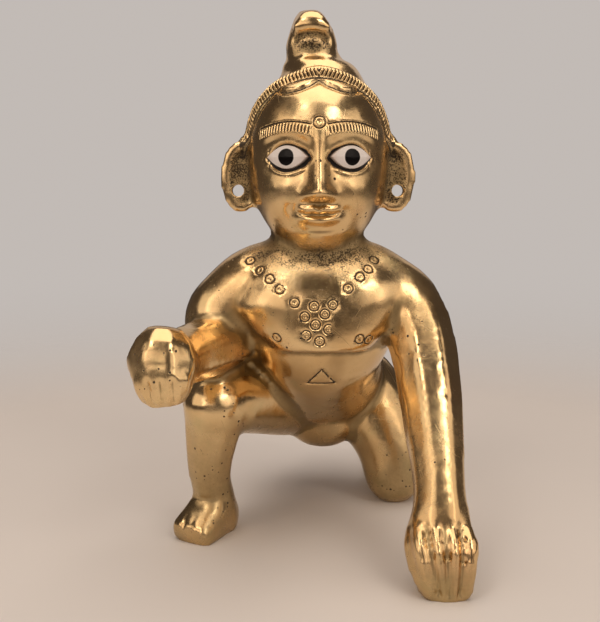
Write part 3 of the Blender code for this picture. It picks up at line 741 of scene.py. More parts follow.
def brow_place(co):
    """Points about the arched brows: height above their middle line, and the run along it."""
    x = np.abs(co[:, 0] - MIDDLE)
    middle = EYE_LEVEL + 4.9 + 1.3 * (1 - ((x - 6.5) / 6.5) ** 2)
    slope = -0.4 * (x - 6.5) / 6.5
    run = HEAD_HALF * np.arcsin(np.clip(x / HEAD_HALF, 0, 1))
    return (co[:, 2] - middle) / np.sqrt(1 + slope**2), run


def engrave_brows(co):
    """Two arched bands of short strokes with a cut line over them."""
    x = np.abs(co[:, 0] - MIDDLE)
    up, run = brow_place(co)
    ends = ease(1.3, 2.0, x) * ease(13.2, 12.4, x) * (co[:, 1] < -14)
    cut = 0.3 * np.exp(-((up / 0.95) ** 6)) * strokes(run + 0.15 * up, BROW_PITCH, 0.8) * ends
    line = np.exp(-(((up - 1.35) / 0.22) ** 2)) * ends
    return cut + 0.35 * line, np.maximum(cut / 0.26, line)


def eye_place(co, sideways):
    """Points in an eye's own frame: across it, outwards from its front, and up."""
    middle = np.array([MIDDLE + sideways * EYE_AT[0], EYE_AT[1], EYE_AT[2]])
    turn = math.radians(sideways * EYE_TURN)
    across = np.array([math.cos(turn), math.sin(turn), 0.0])
    outward = np.array([math.sin(turn), -math.cos(turn), 0.0])
    local = co - middle
    return local @ across, local @ outward, local[:, 2]


def off_almond(u, v):
    """How far outside an eye's outline a point is."""
    half_long, half_open = EYE_LENGTH / UNIT / 2, EYE_OPENING / UNIT / 2
    slope = 2 * half_open * u / half_long**2
    beside = (np.abs(v) - half_open * (1 - (u / half_long) ** 2)) / np.sqrt(1 + slope**2)
    beyond = np.hypot(np.abs(u) - half_long, v)
    return np.where(np.abs(u) < half_long, beside, beyond)


def engrave_eyes(co):
    """The raised lid round each eye, and how far inside its painted black line a point is."""
    rise, kohl = np.zeros(len(co)), np.full(len(co), -1.0)
    for sideways in (-1, 1):
        u, out, v = eye_place(co, sideways)
        away = off_almond(u, v)
        near = (np.abs(out) < 5) & (away < 4)
        inner = ease(2.0, 4.6, -u * sideways)
        width = np.where(v < 0, 0.8, 0.42) + 0.35 * inner
        kohl = np.where(near, np.maximum(kohl, width - away), kohl)
        rise += near * 0.2 * np.exp(-(((away - width - 0.35) / 0.32) ** 2))
    return rise, kohl


# Finer mesh where the carving is fine


def finer(mesh, wanted):
    """Splits every face whose corners are all wanted."""
    bm = bmesh.new()
    bm.from_mesh(mesh)
    bm.verts.ensure_lookup_table()
    edges = set()
    for face in bm.faces:
        if all(wanted[vertex.index] for vertex in face.verts):
            edges.update(face.edges)
    bmesh.ops.subdivide_edges(bm, edges=list(edges), cuts=1, use_grid_fill=True)
    bm.to_mesh(mesh)
    bm.free()


def rings_near(co, places, reach):
    found = np.zeros(len(co), bool)
    for x, z in places:
        found |= (np.hypot(co[:, 0] - x, co[:, 2] - z) < reach) & (co[:, 1] < -14)
    return found


def strokes_near(co):
    """The plait and the brows, which carry the finest strokes, and the punched rings."""
    head = on_head(co) > 0.2
    plait = head & (np.abs(above_line(co, PLAIT)) < 1.25) & (co[:, 1] < -1.5)
    up, _ = brow_place(co)
    brows = (co[:, 1] < -14) & (np.abs(up) < 1.75) & (np.abs(co[:, 0] - MIDDLE) < 13.6)
    return plait | brows | rings_near(co, RINGS, RING_RADIUS + 0.55)


def lines_near(co):
    """The eyes and lips, the edge of the hair, the punched rings and the triangle."""
    x, y, z = off_middle(co)
    front = (y < -14) & (np.abs(x) < 13.5)
    eyes = front & (np.abs(z - EYE_LEVEL) < 4.0) & (np.abs(x) > 0.8)
    lips = front & (np.abs(z - LIP_LEVEL) < 2.6) & (np.abs(x) < 6.5)
    head = on_head(co) > 0.2
    plait = head & (np.abs(above_line(co, PLAIT)) < 2.2) & (y < -1)
    edge = head & (np.abs(above_line(co, HAIRLINE)) < 1.0) & (y < -8)
    near = eyes | lips | plait | edge | strokes_near(co)
    near |= rings_near(co, RINGS, RING_RADIUS + 0.8) | rings_near(co, [TILAK], TILAK_RADIUS + 0.8)
    for first, last in TRIANGLE_SIDES:
        near |= (off_line(co[:, 0], z, first, last) < 0.9) & (y < -8)
    return near


def modelling_near(co):
    """The face, hair, ears, hands and feet, and the chest's lower edge."""
    x, y, z = off_middle(co)
    face = (y < -14) & (z > 67) & (z < 107)
    hair = (on_head(co) > 0.1) & (np.abs(above_line(co, PLAIT)) < 3.4)
    knot = (z > 107.5) & (y < -5)
    ears = (np.abs(x) > 14.2) & (z > 73) & (z < 93)
    left_hand = (z < 16) & (y < -38)
    right_hand = (y < -34) & (co[:, 0] < -16) & (z > 34) & (z < 56)
    feet = ((z < 9) & (y < -9) & (co[:, 0] < -10)) | (y > 50)
    chest_edge = (np.abs(z - 45.5) < 1.4) & (y < -20)
    return face | hair | knot | ears | left_hand | right_hand | feet | chest_edge | lines_near(co)


# Wear, residue and painted shade


def keep(mesh, name, values):
    """Stores a value for every point of the mesh under a name that the brass reads."""
    layer = mesh.attributes.get(name) or mesh.attributes.new(name, "FLOAT", "POINT")
    layer.data.foreach_set("value", np.asarray(values, np.float32))


def averaged(mesh, values, rounds):
    """Values, or points, after rounds of plain averaging with their neighbours."""
    mean = neighbour_mean(mesh)
    columns = list(np.atleast_2d(values.T))
    for _ in range(rounds):
        columns = [0.5 * column + 0.5 * mean(column) for column in columns]
    return np.stack(columns, axis=1) if values.ndim > 1 else columns[0]


def hollow(mesh, co, normals, rounds):
    """How deep each point lies under the smoothed skin."""
    return ((averaged(mesh, co, rounds) - co) * normals).sum(axis=1)


# Ray-cast occlusion, which the brass turns into grime and into painted shade in the creases between limbs.
def occlusion_for_shade_and_grime(mesh, co, normals):
    """0 where the skin is open all round, towards 1 deep between limbs."""
    tree = skin_of(mesh)
    directions = []
    for i in range(16):
        up = 1 - 2 * (i + 0.5) / 16
        turn = i * math.pi * (3 - math.sqrt(5))
        flat = math.sqrt(1 - up * up)
        directions.append(Vector((flat * math.cos(turn), flat * math.sin(turn), up)))
    shade_grime_occlusion = np.zeros(len(co))
    for i, (point, normal) in enumerate(zip(co, normals)):
        facing = Vector(normal)
        start = Vector(point) + facing * 0.4
        blocked, total = 0.0, 0.01
        for direction in directions:
            share = direction.dot(facing)
            if share > 0.15:
                total += share
                if tree.ray_cast(start, direction, 12.0)[0]:
                    blocked += share
        shade_grime_occlusion[i] = blocked / total
    return averaged(mesh, shade_grime_occlusion, 4)


def left_as_cast(co):
    """1 where the skin was never polished: round the neck, in the ears and in the knot's hollows."""
    x, y, z = off_middle(co)
    neck = ease(19.0, 14.0, np.hypot(x, y + 9.5)) * np.exp(-(((z - 66.0) / 3.4) ** 2))
    inside = ((np.abs(x) - 17.0) / 3.1) ** 2 + ((z - 83.4) / 6.4) ** 2
    ears = ease(1.2, 0.75, inside) * ease(13.8, 14.6, np.abs(x))
    ears *= ease(-8.6, -10.2, y) * ease(-13.6, -12.8, y)
    hollows = ease(4.4, 3.4, np.abs(x + 1.5)) * ease(109.2, 110.4, z) * ease(114.9, 114.2, z) * (y < -11)
    return np.maximum(np.maximum(neck, ears), hollows)


def low_on_legs_and_fingertips(co):
    """1 low on the legs and at the finger tips, where the brass is drawn darker and duller towards the
    bottom.
    """
    y, z = co[:, 1], co[:, 2]
    legs = ease(38.0, 10.0, z) * ease(-32.0, -26.0, y)
    fingers = ease(10.0, 5.0, z) * ease(-32.0, -38.0, y)
    return np.maximum(legs, fingers)


def hand_filed(co, normals, size, height):
    """Points moved a little in and out, as a casting that was filed and polished by hand is."""
    moved = np.array([noise.noise(Vector(point) / size) for point in co])
    return co + (height * moved)[:, None] * normals


# The casting


def cut_at_floor(mesh):
    """Cuts the mesh flat where it stands on the floor."""
    bm = bmesh.new()
    bm.from_mesh(mesh)
    everything = bm.verts[:] + bm.edges[:] + bm.faces[:]
    bmesh.ops.bisect_plane(
        bm, geom=everything, plane_co=(0, 0, 0), plane_no=(0, 0, 1), dist=0.0001, clear_inner=True
    )
    bmesh.ops.holes_fill(bm, edges=[edge for edge in bm.edges if edge.is_boundary])
    bm.to_mesh(mesh)
    bm.free()


def engraved(mesh):
    """Cuts the strokes, rings, triangle and pits, and keeps what is dark or painted."""
    co, normals = points_of(mesh), normals_of(mesh)
    hair_cut, hair_dark = engrave_hair(co)
    brow_cut, brow_dark = engrave_brows(co)
    lid_rise, kohl = engrave_eyes(co)
    cut = hair_cut + brow_cut - lid_rise
    dark = np.maximum(hair_dark, brow_dark)
    marks = [(at, RING_RADIUS, RING_DEPTH) for at in surface_points(mesh, RINGS)]
    marks += [(at, TILAK_RADIUS, TILAK_DEPTH) for at in surface_points(mesh, [TILAK])]
    for at, radius, depth in marks:
        mark = ring_mark(co, at, radius, depth)
        cut += mark
        dark = np.maximum(dark, mark / depth)
    front = ease(-7, -9, co[:, 1])
    for first, last in TRIANGLE_SIDES:
        mark = front * np.exp(-((off_line(co[:, 0], co[:, 2], first, last) / 0.24) ** 2))
        cut += 0.3 * mark
        dark = np.maximum(dark, mark)
    for (x, z, size) in PITS:
        for at in surface_points(mesh, [(x, z)]):
            mark = np.exp(-((np.linalg.norm(co - at, axis=1) / size) ** 2))
            cut += size * mark
            dark = np.maximum(dark, mark)
    put_points(mesh, co - cut[:, None] * normals)
    keep(mesh, "cut", np.clip(dark, 0, 1))
    keep(mesh, "kohl", kohl)


def casting():
    """The fused and carved figure in shares, with what its brass reads at every point."""
    mesh = fused(forms(), GRAIN)
    co = points_of(mesh)
    near = np.zeros(len(co))
    for middle, reach in SOFT_JOINTS:
        away = np.linalg.norm(co - np.array(middle, float), axis=1) / reach
        near = np.maximum(near, np.clip(1.6 - 1.2 * away, 0, 1))
    co = relaxed(mesh, co, 3)
    co = relaxed(mesh, co, 28, near)
    put_points(mesh, co)
    normals = normals_of(mesh)
    # Hollowness and occlusion, which the brass turns into grime and into painted shade in hollows and
    # creases.
    keep(mesh, "broad", np.clip(hollow(mesh, co, normals, 60) / 0.8, -1, 1))
    keep(mesh, "shade_grime_occlusion", occlusion_for_shade_and_grime(mesh, co, normals))
    co = hand_filed(co, normals, 9.0, 0.16)
    co = hand_filed(co, normals, 3.6, 0.05)
    put_points(mesh, co)

    finer(mesh, modelling_near(co))
    co = relaxed(mesh, points_of(mesh), 3)
    co = carve_face(co)
    put_points(mesh, co)
    for carve in (carve_hair, carve_topknot):
        co = carve(co, normals_of(mesh))
        put_points(mesh, co)
    carve_fingers(co, normals_of(mesh))
    co = relaxed(mesh, co, 1)
    put_points(mesh, co)
    # Hollowness at the size of the face's features, which the brass darkens as tarnish and as painted shade.
    keep(mesh, "middling", np.clip(hollow(mesh, co, normals_of(mesh), 30) / 0.45, -1, 1))

    finer(mesh, lines_near(co))
    put_points(mesh, relaxed(mesh, points_of(mesh), 2))
    finer(mesh, strokes_near(points_of(mesh)))
    put_points(mesh, relaxed(mesh, points_of(mesh), 2))
    engraved(mesh)
    co = points_of(mesh)
    keep(mesh, "fine", np.clip(hollow(mesh, co, normals_of(mesh), 6) / 0.12, -1, 1))
    keep(mesh, "cast", left_as_cast(co))
    # Where the brass is drawn darker and duller towards the bottom.
    keep(mesh, "darker_low", low_on_legs_and_fingertips(co))
    cut_at_floor(mesh)
    return mesh


def eye_solid(sideways, grow=0.0, ahead=None):
    """An almond of enamel in metres, or the socket for it: grown all round and carried ahead."""
    bm = bmesh.new()
    half_long = EYE_LENGTH / 2 + 1.37 * grow
    half_open = EYE_OPENING / 2 + grow
    if ahead is None:
        rings = [(0.96, -EYE_THICKNESS), (1.0, -EYE_THICKNESS + 0.0001), (1.0, -0.0001)]
        shares = (0.985, 0.94, 0.86, 0.76, 0.64, 0.5, 0.35, 0.2, 0.08)
        rings += [(share, EYE_DOME * (1 - share**2)) for share in shares]
    else:
        rings = [(1.0, -EYE_THICKNESS - grow), (1.0, ahead)]
    before = None
    for share, forward in rings:
        made = bmesh.ops.create_circle(bm, segments=96, radius=1.0)["verts"]
        for vertex in made:
            u, v = vertex.co.x, vertex.co.y * abs(vertex.co.y)
            vertex.co = (u * half_long * share, -forward, v * half_open * share)
        before = join_ring(bm, made, before)
    close_rings(bm, before)
    mesh = mesh_from(bm, "eye")
    if ahead is None:
        place = mesh.attributes.new("place", "FLOAT_VECTOR", "POINT")
        place.data.foreach_set("vector", (points_of(mesh) / UNIT).astype(np.float32).ravel())
    at = Vector((MIDDLE + sideways * EYE_AT[0], EYE_AT[1], EYE_AT[2])) * UNIT
    turn = Matrix.Rotation(math.radians(sideways * EYE_TURN), 4, "Z")
    mesh.transform(Matrix.Translation(at) @ turn)
    return mesh


def ear_drill(sideways):
    """The round hole through an ear lobe, in metres."""
    bm = bmesh.new()
    place = Vector((MIDDLE + sideways * EAR_HOLE_AT[0], -10.5, EAR_HOLE_AT[1])) * UNIT
    bmesh.ops.create_cone(
        bm, cap_ends=True, segments=48, radius1=EAR_HOLE_RADIUS, radius2=EAR_HOLE_RADIUS,
        depth=0.010, matrix=Matrix.Translation(place) @ Matrix.Rotation(math.pi / 2, 4, "X"),
    )
    return mesh_from(bm, "ear_drill")


def centred(mesh):
    """Moves a mesh so the origin is under the middle of the outline."""
    middle = Vector((*OUTLINE_MIDDLE, 0.0)) * UNIT
    mesh.transform(Matrix.Translation(-middle))
    return mesh


def with_cuts(mesh, tools):
    """The mesh with every tool cut out of it."""
    holder = holding(mesh)
    cutters = []
    for tool in tools:
        cutter = holding(tool)
        cutter.hide_render = True
        cutter.display_type = "WIRE"
        boolean = holder.modifiers.new("Cut", "BOOLEAN")
        boolean.operation = "DIFFERENCE"
        boolean.solver = "EXACT"
        boolean.object = cutter
        cutters.append(cutter)
    made = evaluated(holder)
    for cutter in cutters:
        bpy.data.objects.remove(cutter)
    return made


def shown(name, mesh, material):
    """A finished piece that stands for the CAD node of the same name."""
    mesh.materials.clear()
    mesh.materials.append(material)
    for face in mesh.polygons:
        face.use_smooth = True
        face.material_index = 0
    piece = bpy.data.objects.new(f"{name}_piece", mesh)
    bpy.context.scene.collection.objects.link(piece)
    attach(piece, "root")
    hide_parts(name)


# Finishes


def put(tree, kind, inputs=None, **settings):
    """Adds a node. inputs gives each input, by name or number, a value or another node's output."""
    made = tree.nodes.new(kind)
    for name, value in settings.items():
        setattr(made, name, value)
    for name, value in (inputs or {}).items():
        if isinstance(value, bpy.types.NodeSocket):
            tree.links.new(value, made.inputs[name])
        else:
            made.inputs[name].default_value = value
    return made


def sums(tree, operation, a, b=0.0, clamp=False):
    return put(tree, "ShaderNodeMath", {0: a, 1: b}, operation=operation, use_clamp=clamp).outputs[0]


def vectors(tree, operation, a, b=(0.0, 0.0, 0.0), output=0):
    return put(tree, "ShaderNodeVectorMath", {0: a, 1: b}, operation=operation).outputs[output]


def weighed(tree, first, *parts):
    """first, plus each value times its share."""
    for value, share in parts:
        made = put(tree, "ShaderNodeMath", {0: value, 1: share, 2: first}, operation="MULTIPLY_ADD")
        first = made.outputs[0]
    return first


def largest(tree, *values):
    """The largest of the values, held between 0 and 1."""
    found = values[0]
    for value in values[1:]:
        found = sums(tree, "MAXIMUM", found, value, clamp=True)
    return found


def ramped(tree, value, low, high, at_low=0.0, at_high=1.0):
    """Smooth steps from at_low to at_high as value goes from low to high."""
    made = put(tree, "ShaderNodeMapRange", {
        "Value": value, "From Min": low, "From Max": high, "To Min": at_low, "To Max": at_high,
    }, interpolation_type="SMOOTHSTEP")
    return made.outputs["Result"]


def mixed(tree, share, a, b):
    """Colour a going to colour b by share."""
    return put(tree, "ShaderNodeMix", {0: share, 6: a, 7: b}, data_type="RGBA").outputs[2]


def clouds(tree, where, scale, detail=3.0, roughness=0.5, distortion=0.0):
    made = put(tree, "ShaderNodeTexNoise", {
        "Vector": where, "Scale": scale, "Detail": detail, "Roughness": roughness, "Distortion": distortion,
    })
    return made.outputs["Fac"]


def named(tree, name, output="Fac"):
    """What the mesh keeps under a name for every point."""
    return put(tree, "ShaderNodeAttribute", attribute_name=name, attribute_type="GEOMETRY").outputs[output]


def group(name):
    """An empty node group that turns a place, a scale and an amount into a mask."""
    tree = bpy.data.node_groups.new(name, "ShaderNodeTree")
    for label, kind in (("Where", "Vector"), ("Scale", "Float"), ("Amount", "Float")):
        tree.interface.new_socket(label, in_out="INPUT", socket_type=f"NodeSocket{kind}")
    tree.interface.new_socket("Mask", in_out="OUTPUT", socket_type="NodeSocketFloat")
    return tree, put(tree, "NodeGroupInput").outputs, put(tree, "NodeGroupOutput").inputs


def fine_scratches():
    """Straight fine scratches that run every way, one to a cell, some faint and some left out."""
    tree, given, out = group("fine_scratches")
    total = None
    for share, width in ((1.0, 0.00003), (2.3, 0.000018)):
        scale = sums(tree, "MULTIPLY", given["Scale"], share)
        cells = put(tree, "ShaderNodeTexVoronoi", {
            "Vector": given["Where"], "Scale": scale, "Randomness": 1.0,
        }, feature="F1")
        drawn = cells.outputs["Color"]
        lean = vectors(tree, "NORMALIZE", vectors(tree, "SUBTRACT", drawn, (0.5, 0.5, 0.5)))
        off = vectors(tree, "SUBTRACT", given["Where"], cells.outputs["Position"])
        away = vectors(tree, "DOT_PRODUCT", off, lean, "Value")
        line = ramped(tree, sums(tree, "ABSOLUTE", away), width * 0.4, width * 1.6, 1.0, 0.0)
        ends = ramped(tree, cells.outputs["Distance"], 0.30, 0.55, 1.0, 0.0)
        chosen = ramped(tree, put(tree, "ShaderNodeSeparateColor", {0: drawn}).outputs[1], 0.35, 0.95)
        line = sums(tree, "MULTIPLY", sums(tree, "MULTIPLY", line, ends), chosen)
        total = line if total is None else sums(tree, "MAXIMUM", total, line)
    tree.links.new(sums(tree, "MULTIPLY", total, given["Amount"]), out["Mask"])
    return tree


def casting_pits():
    """Small round pits of many sizes, in loose swarms."""
    tree, given, out = group("casting_pits")
    cells = put(tree, "ShaderNodeTexVoronoi", {
        "Vector": given["Where"], "Scale": given["Scale"], "Randomness": 1.0,
    }, feature="F1")
    drawn = put(tree, "ShaderNodeSeparateColor", {0: cells.outputs["Color"]}).outputs[0]
    size = ramped(tree, drawn, 0.55, 1.0, 0.0, 0.42)
    swarm = ramped(tree, clouds(tree, given["Where"], 85.0, 3.0), 0.40, 0.66)
    reach = sums(tree, "MULTIPLY", sums(tree, "MULTIPLY", size, swarm), given["Amount"])
    near = sums(tree, "SUBTRACT", reach, cells.outputs["Distance"])
    tree.links.new(ramped(tree, near, -0.02, 0.08), out["Mask"])
    return tree


def fill(tree, made_group, where, scale, amount):
    """A group placed in a material with its own values."""
    node = put(tree, "ShaderNodeGroup", node_tree=made_group)
    tree.links.new(where, node.inputs["Where"])
    node.inputs["Scale"].default_value = scale
    node.inputs["Amount"].default_value = amount
    return node.outputs["Mask"]


def new_material(name):
    material = bpy.data.materials.new(name)
    material.use_nodes = True
    tree = material.node_tree
    shader = tree.nodes["Principled BSDF"]
    where = put(tree, "ShaderNodeTexCoord").outputs["Object"]
    return material, tree, shader, where


def polished_brass(scratches, pits):
    """Polished yellow brass, dark in its grooves, with casting pits, scratches and tarnish; its creases and
    hollows are also darkened with painted shade, and it is drawn darker low down.
    """
    material, tree, shader, where = new_material("polished_brass")
    cut, fine, middling, broad, shade_grime_occlusion, cast, darker_low = (
        named(tree, name) for name in ("cut", "fine", "middling", "broad", "shade_grime_occlusion", "cast", "darker_low")
    )

    tone = clouds(tree, where, 70.0, 4.0, 0.6)
    metal = mixed(tree, ramped(tree, tone, 0.3, 0.7), (0.75, 0.51, 0.245, 1), (0.87, 0.64, 0.34, 1))
    reddish = ramped(tree, clouds(tree, where, 45.0, 3.0, 0.55, 0.6), 0.56, 0.74, 0.0, 0.5)
    metal = mixed(tree, reddish, metal, (0.77, 0.47, 0.25, 1))
    olive = ramped(tree, clouds(tree, where, 120.0, 4.0, 0.6), 0.52, 0.74, 0.0, 0.5)
    metal = mixed(tree, olive, metal, (0.63, 0.52, 0.26, 1))

    rag = sums(tree, "SUBTRACT", clouds(tree, where, 1500.0, 5.0, 0.7), 0.5)
    grit = sums(tree, "SUBTRACT", clouds(tree, where, 3200.0, 4.0, 0.65), 0.5)
    patchy = sums(tree, "SUBTRACT", clouds(tree, where, 300.0, 3.0, 0.6), 0.5)
    # Occluded and broadly hollow places: grime that polishing misses, and painted shade in the creases
    # between limbs.
    shade_grime_cover = weighed(tree, 0.0, (shade_grime_occlusion, 0.75), (broad, 0.5))
    ragged = weighed(tree, 0.0, (rag, 1.6), (patchy, 1.2))
    crease_grime_and_shade = weighed(tree, ragged, (ramped(tree, shade_grime_cover, 0.7, 1.4), 0.42))
    crease_grime_and_shade = ramped(tree, crease_grime_and_shade, 0.42, 0.60)
    groove = sums(tree, "MAXIMUM", ramped(tree, fine, 0.3, 2.0), sums(tree, "MULTIPLY", cut, 0.9))
    groove = ramped(tree, sums(tree, "ADD", groove, rag), 0.42, 0.66)
    crust = ramped(tree, weighed(tree, patchy, (cast, 0.56), (grit, 2.6)), 0.50, 0.70)
    specks = largest(tree, fill(tree, pits, where, 1000.0, 0.8), fill(tree, pits, where, 330.0, 0.12))
    # Near-black cover: grime in grooves, rough casting and pits, and painted shade in the creases.
    grime_and_crease_shade = largest(tree, crease_grime_and_shade, groove, crust, specks)

    # A brown layer over hollows, grooves and rough casting: tarnish, and painted shade in the face's hollows
    # and between limbs.
    brown_layer_and_shade = weighed(tree, 0.0, (middling, 0.7), (shade_grime_cover, 0.4), (fine, 0.5), (cast, 0.8))
    brown_layer_and_shade = weighed(tree, brown_layer_and_shade, (ragged, 0.35), (shade_grime_occlusion, 0.25))
    patina_and_shade = ramped(tree, brown_layer_and_shade, 0.15, 1.05)
    blotches = weighed(tree, ramped(tree, tone, 0.35, 0.65, 0.35, 0.85), (ragged, 0.3))
    # Darker and duller, in blotches, low on the legs and at the finger tips.
    patina_and_shade = largest(tree, patina_and_shade, sums(tree, "MULTIPLY", darker_low, blotches))

    upright, level = (
        vectors(tree, "MULTIPLY", where, stretch) for stretch in ((1.0, 1.0, 0.1), (0.1, 1.0, 1.0))
    )
    filed_way = ramped(tree, clouds(tree, where, 55.0, 2.0), 0.46, 0.54)
    marks = [clouds(tree, way, 2000.0, 3.0, 0.6) for way in (upright, level)]
    filed = mixed(tree, filed_way, *marks)
    strength = ramped(tree, clouds(tree, where, 90.0, 3.0, 0.6), 0.40, 0.62, 0.25, 1.0)
    filed = sums(tree, "MULTIPLY", filed, strength)

    scratch = fill(tree, scratches, where, 75.0, 0.8)
    # Near-black grime and brown tarnish, which also paint the shade in creases and hollows, and the darkening
    # low down.
    black_grime_and_shade = mixed(tree, ramped(tree, rag, -0.2, 0.25), (0.016, 0.010, 0.006, 1), (0.10, 0.068, 0.034, 1))
    patina_shade_colour = mixed(tree, sums(tree, "MULTIPLY", patina_and_shade, 0.75), metal, (0.24, 0.175, 0.085, 1))
    colour = mixed(tree, grime_and_crease_shade, patina_shade_colour, black_grime_and_shade)
    colour = mixed(tree, sums(tree, "MULTIPLY", scratch, 0.4), colour, (0.30, 0.21, 0.11, 1))
    painted = ramped(tree, named(tree, "kohl"), -0.04, 0.06)
    colour = mixed(tree, painted, colour, (0.008, 0.007, 0.007, 1))
    tree.links.new(colour, shader.inputs["Base Color"])

    covered = sums(tree, "MAXIMUM", sums(tree, "MULTIPLY", grime_and_crease_shade, 0.8), painted)
    tree.links.new(sums(tree, "SUBTRACT", 1.0, covered, clamp=True), shader.inputs["Metallic"])
    sheen = ramped(tree, clouds(tree, where, 38.0, 4.0, 0.6), 0.38, 0.66, 0.13, 0.27)
    streaky = ramped(tree, clouds(tree, where, 420.0, 5.0, 0.65), 0.3, 0.75, -0.02, 0.06)
    rough = weighed(tree, sums(tree, "ADD", sheen, streaky), (scratch, 0.25), (filed, 0.06), (patina_and_shade, 0.16))
    rough = weighed(tree, rough, (cast, 0.14), (grime_and_crease_shade, 0.40), (painted, 0.12))
    tree.links.new(rough, shader.inputs["Roughness"])

    ripple = clouds(tree, where, 260.0, 2.0, 0.45)
    hammered = clouds(tree, where, 620.0, 2.0, 0.5)
    grainy = weighed(tree, 0.0, (grime_and_crease_shade, 0.35), (cast, 0.8))
    height = weighed(tree, 0.0, (ripple, 0.62), (hammered, 0.15), (filed, 0.09), (specks, -0.35))
    height = weighed(tree, height, (sums(tree, "ADD", grit, rag), grainy), (scratch, -0.10))
    bump = put(tree, "ShaderNodeBump", {"Height": height, "Strength": 0.5, "Distance": 0.00025})
    tree.links.new(bump.outputs["Normal"], shader.inputs["Normal"])
    return material


def eye_enamel(scratches, pits):
    """White enamel with a round black iris, glossy, browner towards its two corners and speckled with brown.
    """
    material, tree, shader, where = new_material("eye_enamel")
    place = named(tree, "place", "Vector")
    away = vectors(tree, "LENGTH", vectors(tree, "MULTIPLY", place, (1.0, 0.0, 1.0)), output="Value")
    wobble = sums(tree, "SUBTRACT", clouds(tree, where, 700.0, 2.0), 0.5)
    away = weighed(tree, away, (wobble, 0.12))
    cloud = clouds(tree, where, 420.0, 4.0, 0.6)
    white = mixed(tree, cloud, (0.90, 0.86, 0.82, 1), (0.80, 0.72, 0.68, 1))
    rim = ramped(tree, away, 2.9, 4.4)
    white = mixed(tree, sums(tree, "MULTIPLY", rim, 0.45), white, (0.62, 0.46, 0.38, 1))
    stain = fill(tree, pits, where, 1500.0, 0.5)
    white = mixed(tree, sums(tree, "MULTIPLY", stain, 0.5), white, (0.35, 0.25, 0.18, 1))
    iris = ramped(tree, away, 1.82, 1.70)
    colour = mixed(tree, iris, white, (0.006, 0.005, 0.005, 1))
    tree.links.new(colour, shader.inputs["Base Color"])
    scratch = fill(tree, scratches, where, 90.0, 0.5)
    rough = weighed(tree, ramped(tree, cloud, 0.2, 0.8, 0.10, 0.20), (scratch, 0.2))
    tree.links.new(rough, shader.inputs["Roughness"])
    shader.inputs["Specular IOR Level"].default_value = 0.15
    bump = put(tree, "ShaderNodeBump", {"Height": cloud, "Strength": 0.15, "Distance": 0.00008})
    tree.links.new(bump.outputs["Normal"], shader.inputs["Normal"])
    return material


# Studio

FLOOR_RADIUS = 0.9
FLOOR_FADE = (1.2, 7.0)  # one over the distance at which the floor is gone, and at which it is whole
CAMERA_AHEAD, CAMERA_HEIGHT = 0.220, 0.0783
CAMERA_TILT = 7.03  # degrees it looks down
CHEST = (0.0, 0.0, 0.055)  # what every light is turned to
LIGHTS = (  # name, place, width, height, brightness, colour
    ("left", (-0.80, -0.45, 0.38), 0.85, 0.54, 0.90, (1.0, 0.84, 0.70)),
    ("right", (0.80, -0.40, 0.36), 0.80, 0.62, 0.85, (1.0, 0.84, 0.71)),
    ("front_left", (-0.48, -0.90, 0.38), 0.80, 0.46, 1.10, (1.0, 0.83, 0.70)),
    ("front_right", (0.60, -0.84, 0.38), 0.66, 0.46, 0.85, (1.0, 0.83, 0.70)),
    ("front_top", (-0.36, -0.62, 0.66), 0.46, 0.28, 0.95, (1.0, 0.85, 0.72)),
    ("top", (0.0, -0.06, 0.95), 1.00, 1.00, 1.8, (1.0, 0.86, 0.74)),
    ("back", (0.0, 0.90, 0.55), 1.30, 0.60, 0.45, (1.0, 0.87, 0.80)),
    ("key", (0.32, -0.54, 0.56), 0.26, 0.20, 5.0, (1.0, 0.90, 0.78)),
    ("second", (-0.30, -0.48, 0.68), 0.15, 0.15, 6.0, (1.0, 0.90, 0.78)),
)


def pale_floor():
    """A pale disc of floor whose edge fades into the pale surroundings."""
    bm = bmesh.new()
    bmesh.ops.create_circle(bm, cap_ends=True, segments=96, radius=FLOOR_RADIUS)
    mesh = mesh_from(bm, "floor")
    material, tree, shader, where = new_material("pale_floor")
    pale = mixed(tree, clouds(tree, where, 9.0, 3.0), (0.72, 0.69, 0.67, 1), (0.77, 0.74, 0.72, 1))
    tree.links.new(pale, shader.inputs["Base Color"])
    shader.inputs["Roughness"].default_value = 0.6
    nearness = sums(tree, "DIVIDE", 1.0, vectors(tree, "LENGTH", where, output="Value"))
    tree.links.new(ramped(tree, nearness, *FLOOR_FADE), shader.inputs["Alpha"])
    mesh.materials.append(material)
    floor = bpy.data.objects.new("floor", mesh)
    bpy.context.scene.collection.objects.link(floor)


def soft_light(name, at, width, height, brightness, colour):
    light = bpy.data.lights.new(name, "AREA")
    light.shape = "RECTANGLE"
    light.size, light.size_y = width, height
    light.energy = brightness * math.pi * width * height
    light.color = colour
    holder = bpy.data.objects.new(name, light)
    holder.location = at
    holder.rotation_euler = (Vector(CHEST) - Vector(at)).to_track_quat("-Z", "Y").to_euler()
    bpy.context.scene.collection.objects.link(holder)


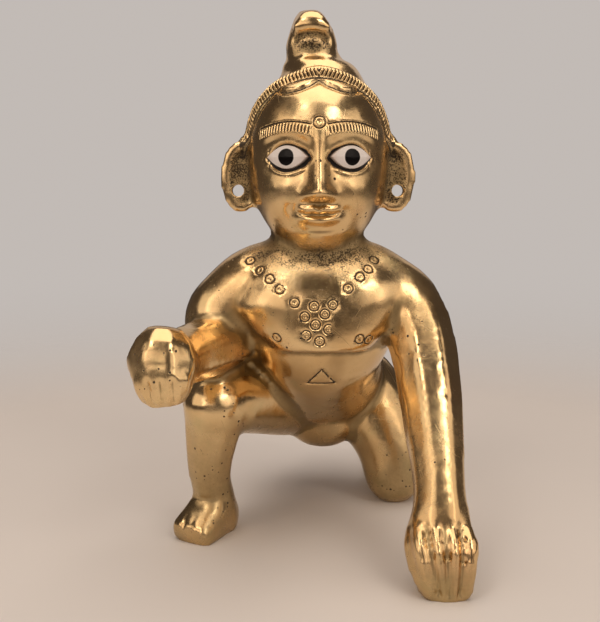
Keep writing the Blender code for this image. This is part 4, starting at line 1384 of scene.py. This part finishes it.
def surroundings():
    """Dim around the figure, for its reflections, and pale behind it where the camera looks."""
    world = bpy.data.worlds.new("studio")
    world.use_nodes = True
    tree = world.node_tree
    dim = tree.nodes["Background"]
    dim.inputs["Color"].default_value = (1.0, 0.80, 0.70, 1)
    dim.inputs["Strength"].default_value = 0.07
    pale = put(tree, "ShaderNodeBackground", {"Color": (0.54, 0.495, 0.465, 1), "Strength": 1.0})
    seen = put(tree, "ShaderNodeLightPath").outputs["Is Camera Ray"]
    both = put(tree, "ShaderNodeMixShader", {0: seen, 1: dim.outputs[0], 2: pale.outputs[0]})
    tree.links.new(both.outputs[0], tree.nodes["World Output"].inputs["Surface"])
    bpy.context.scene.world = world


def studio():
    pale_floor()
    surroundings()
    for light in LIGHTS:
        soft_light(*light)

    scene = bpy.context.scene
    scene.view_settings.view_transform = "Standard"
    camera = bpy.data.cameras.new("camera")
    camera.sensor_fit = "VERTICAL"
    camera.sensor_height = 24.0
    camera.lens = 34.73
    camera.clip_start = 0.01
    eye_point = bpy.data.objects.new("camera", camera)
    eye_point.location = (-OUTLINE_MIDDLE[0] * UNIT, -CAMERA_AHEAD, CAMERA_HEIGHT)
    eye_point.rotation_euler = (math.radians(90 - CAMERA_TILT), 0.0, 0.0)
    scene.collection.objects.link(eye_point)
    scene.camera = eye_point


def main():
    scratches, pits = fine_scratches(), casting_pits()
    brass, enamel = polished_brass(scratches, pits), eye_enamel(scratches, pits)
    cast = casting()
    cast.transform(Matrix.Scale(UNIT, 4))
    tools = [eye_solid(sideways, EYE_GAP, 0.004) for sideways in (-1, 1)]
    tools += [ear_drill(sideways) for sideways in (-1, 1)]
    cast = with_cuts(cast, tools)
    shown("idol", centred(cast), brass)
    for side, sideways in (("left", 1), ("right", -1)):
        shown(f"{side}_eye", centred(eye_solid(sideways)), enamel)
    studio()
    for piece in bpy.context.scene.objects:
        if piece.name.endswith("_piece"):
            piece.data.calc_loop_triangles()
            print(piece.name, len(piece.data.loop_triangles), "triangles")


main()
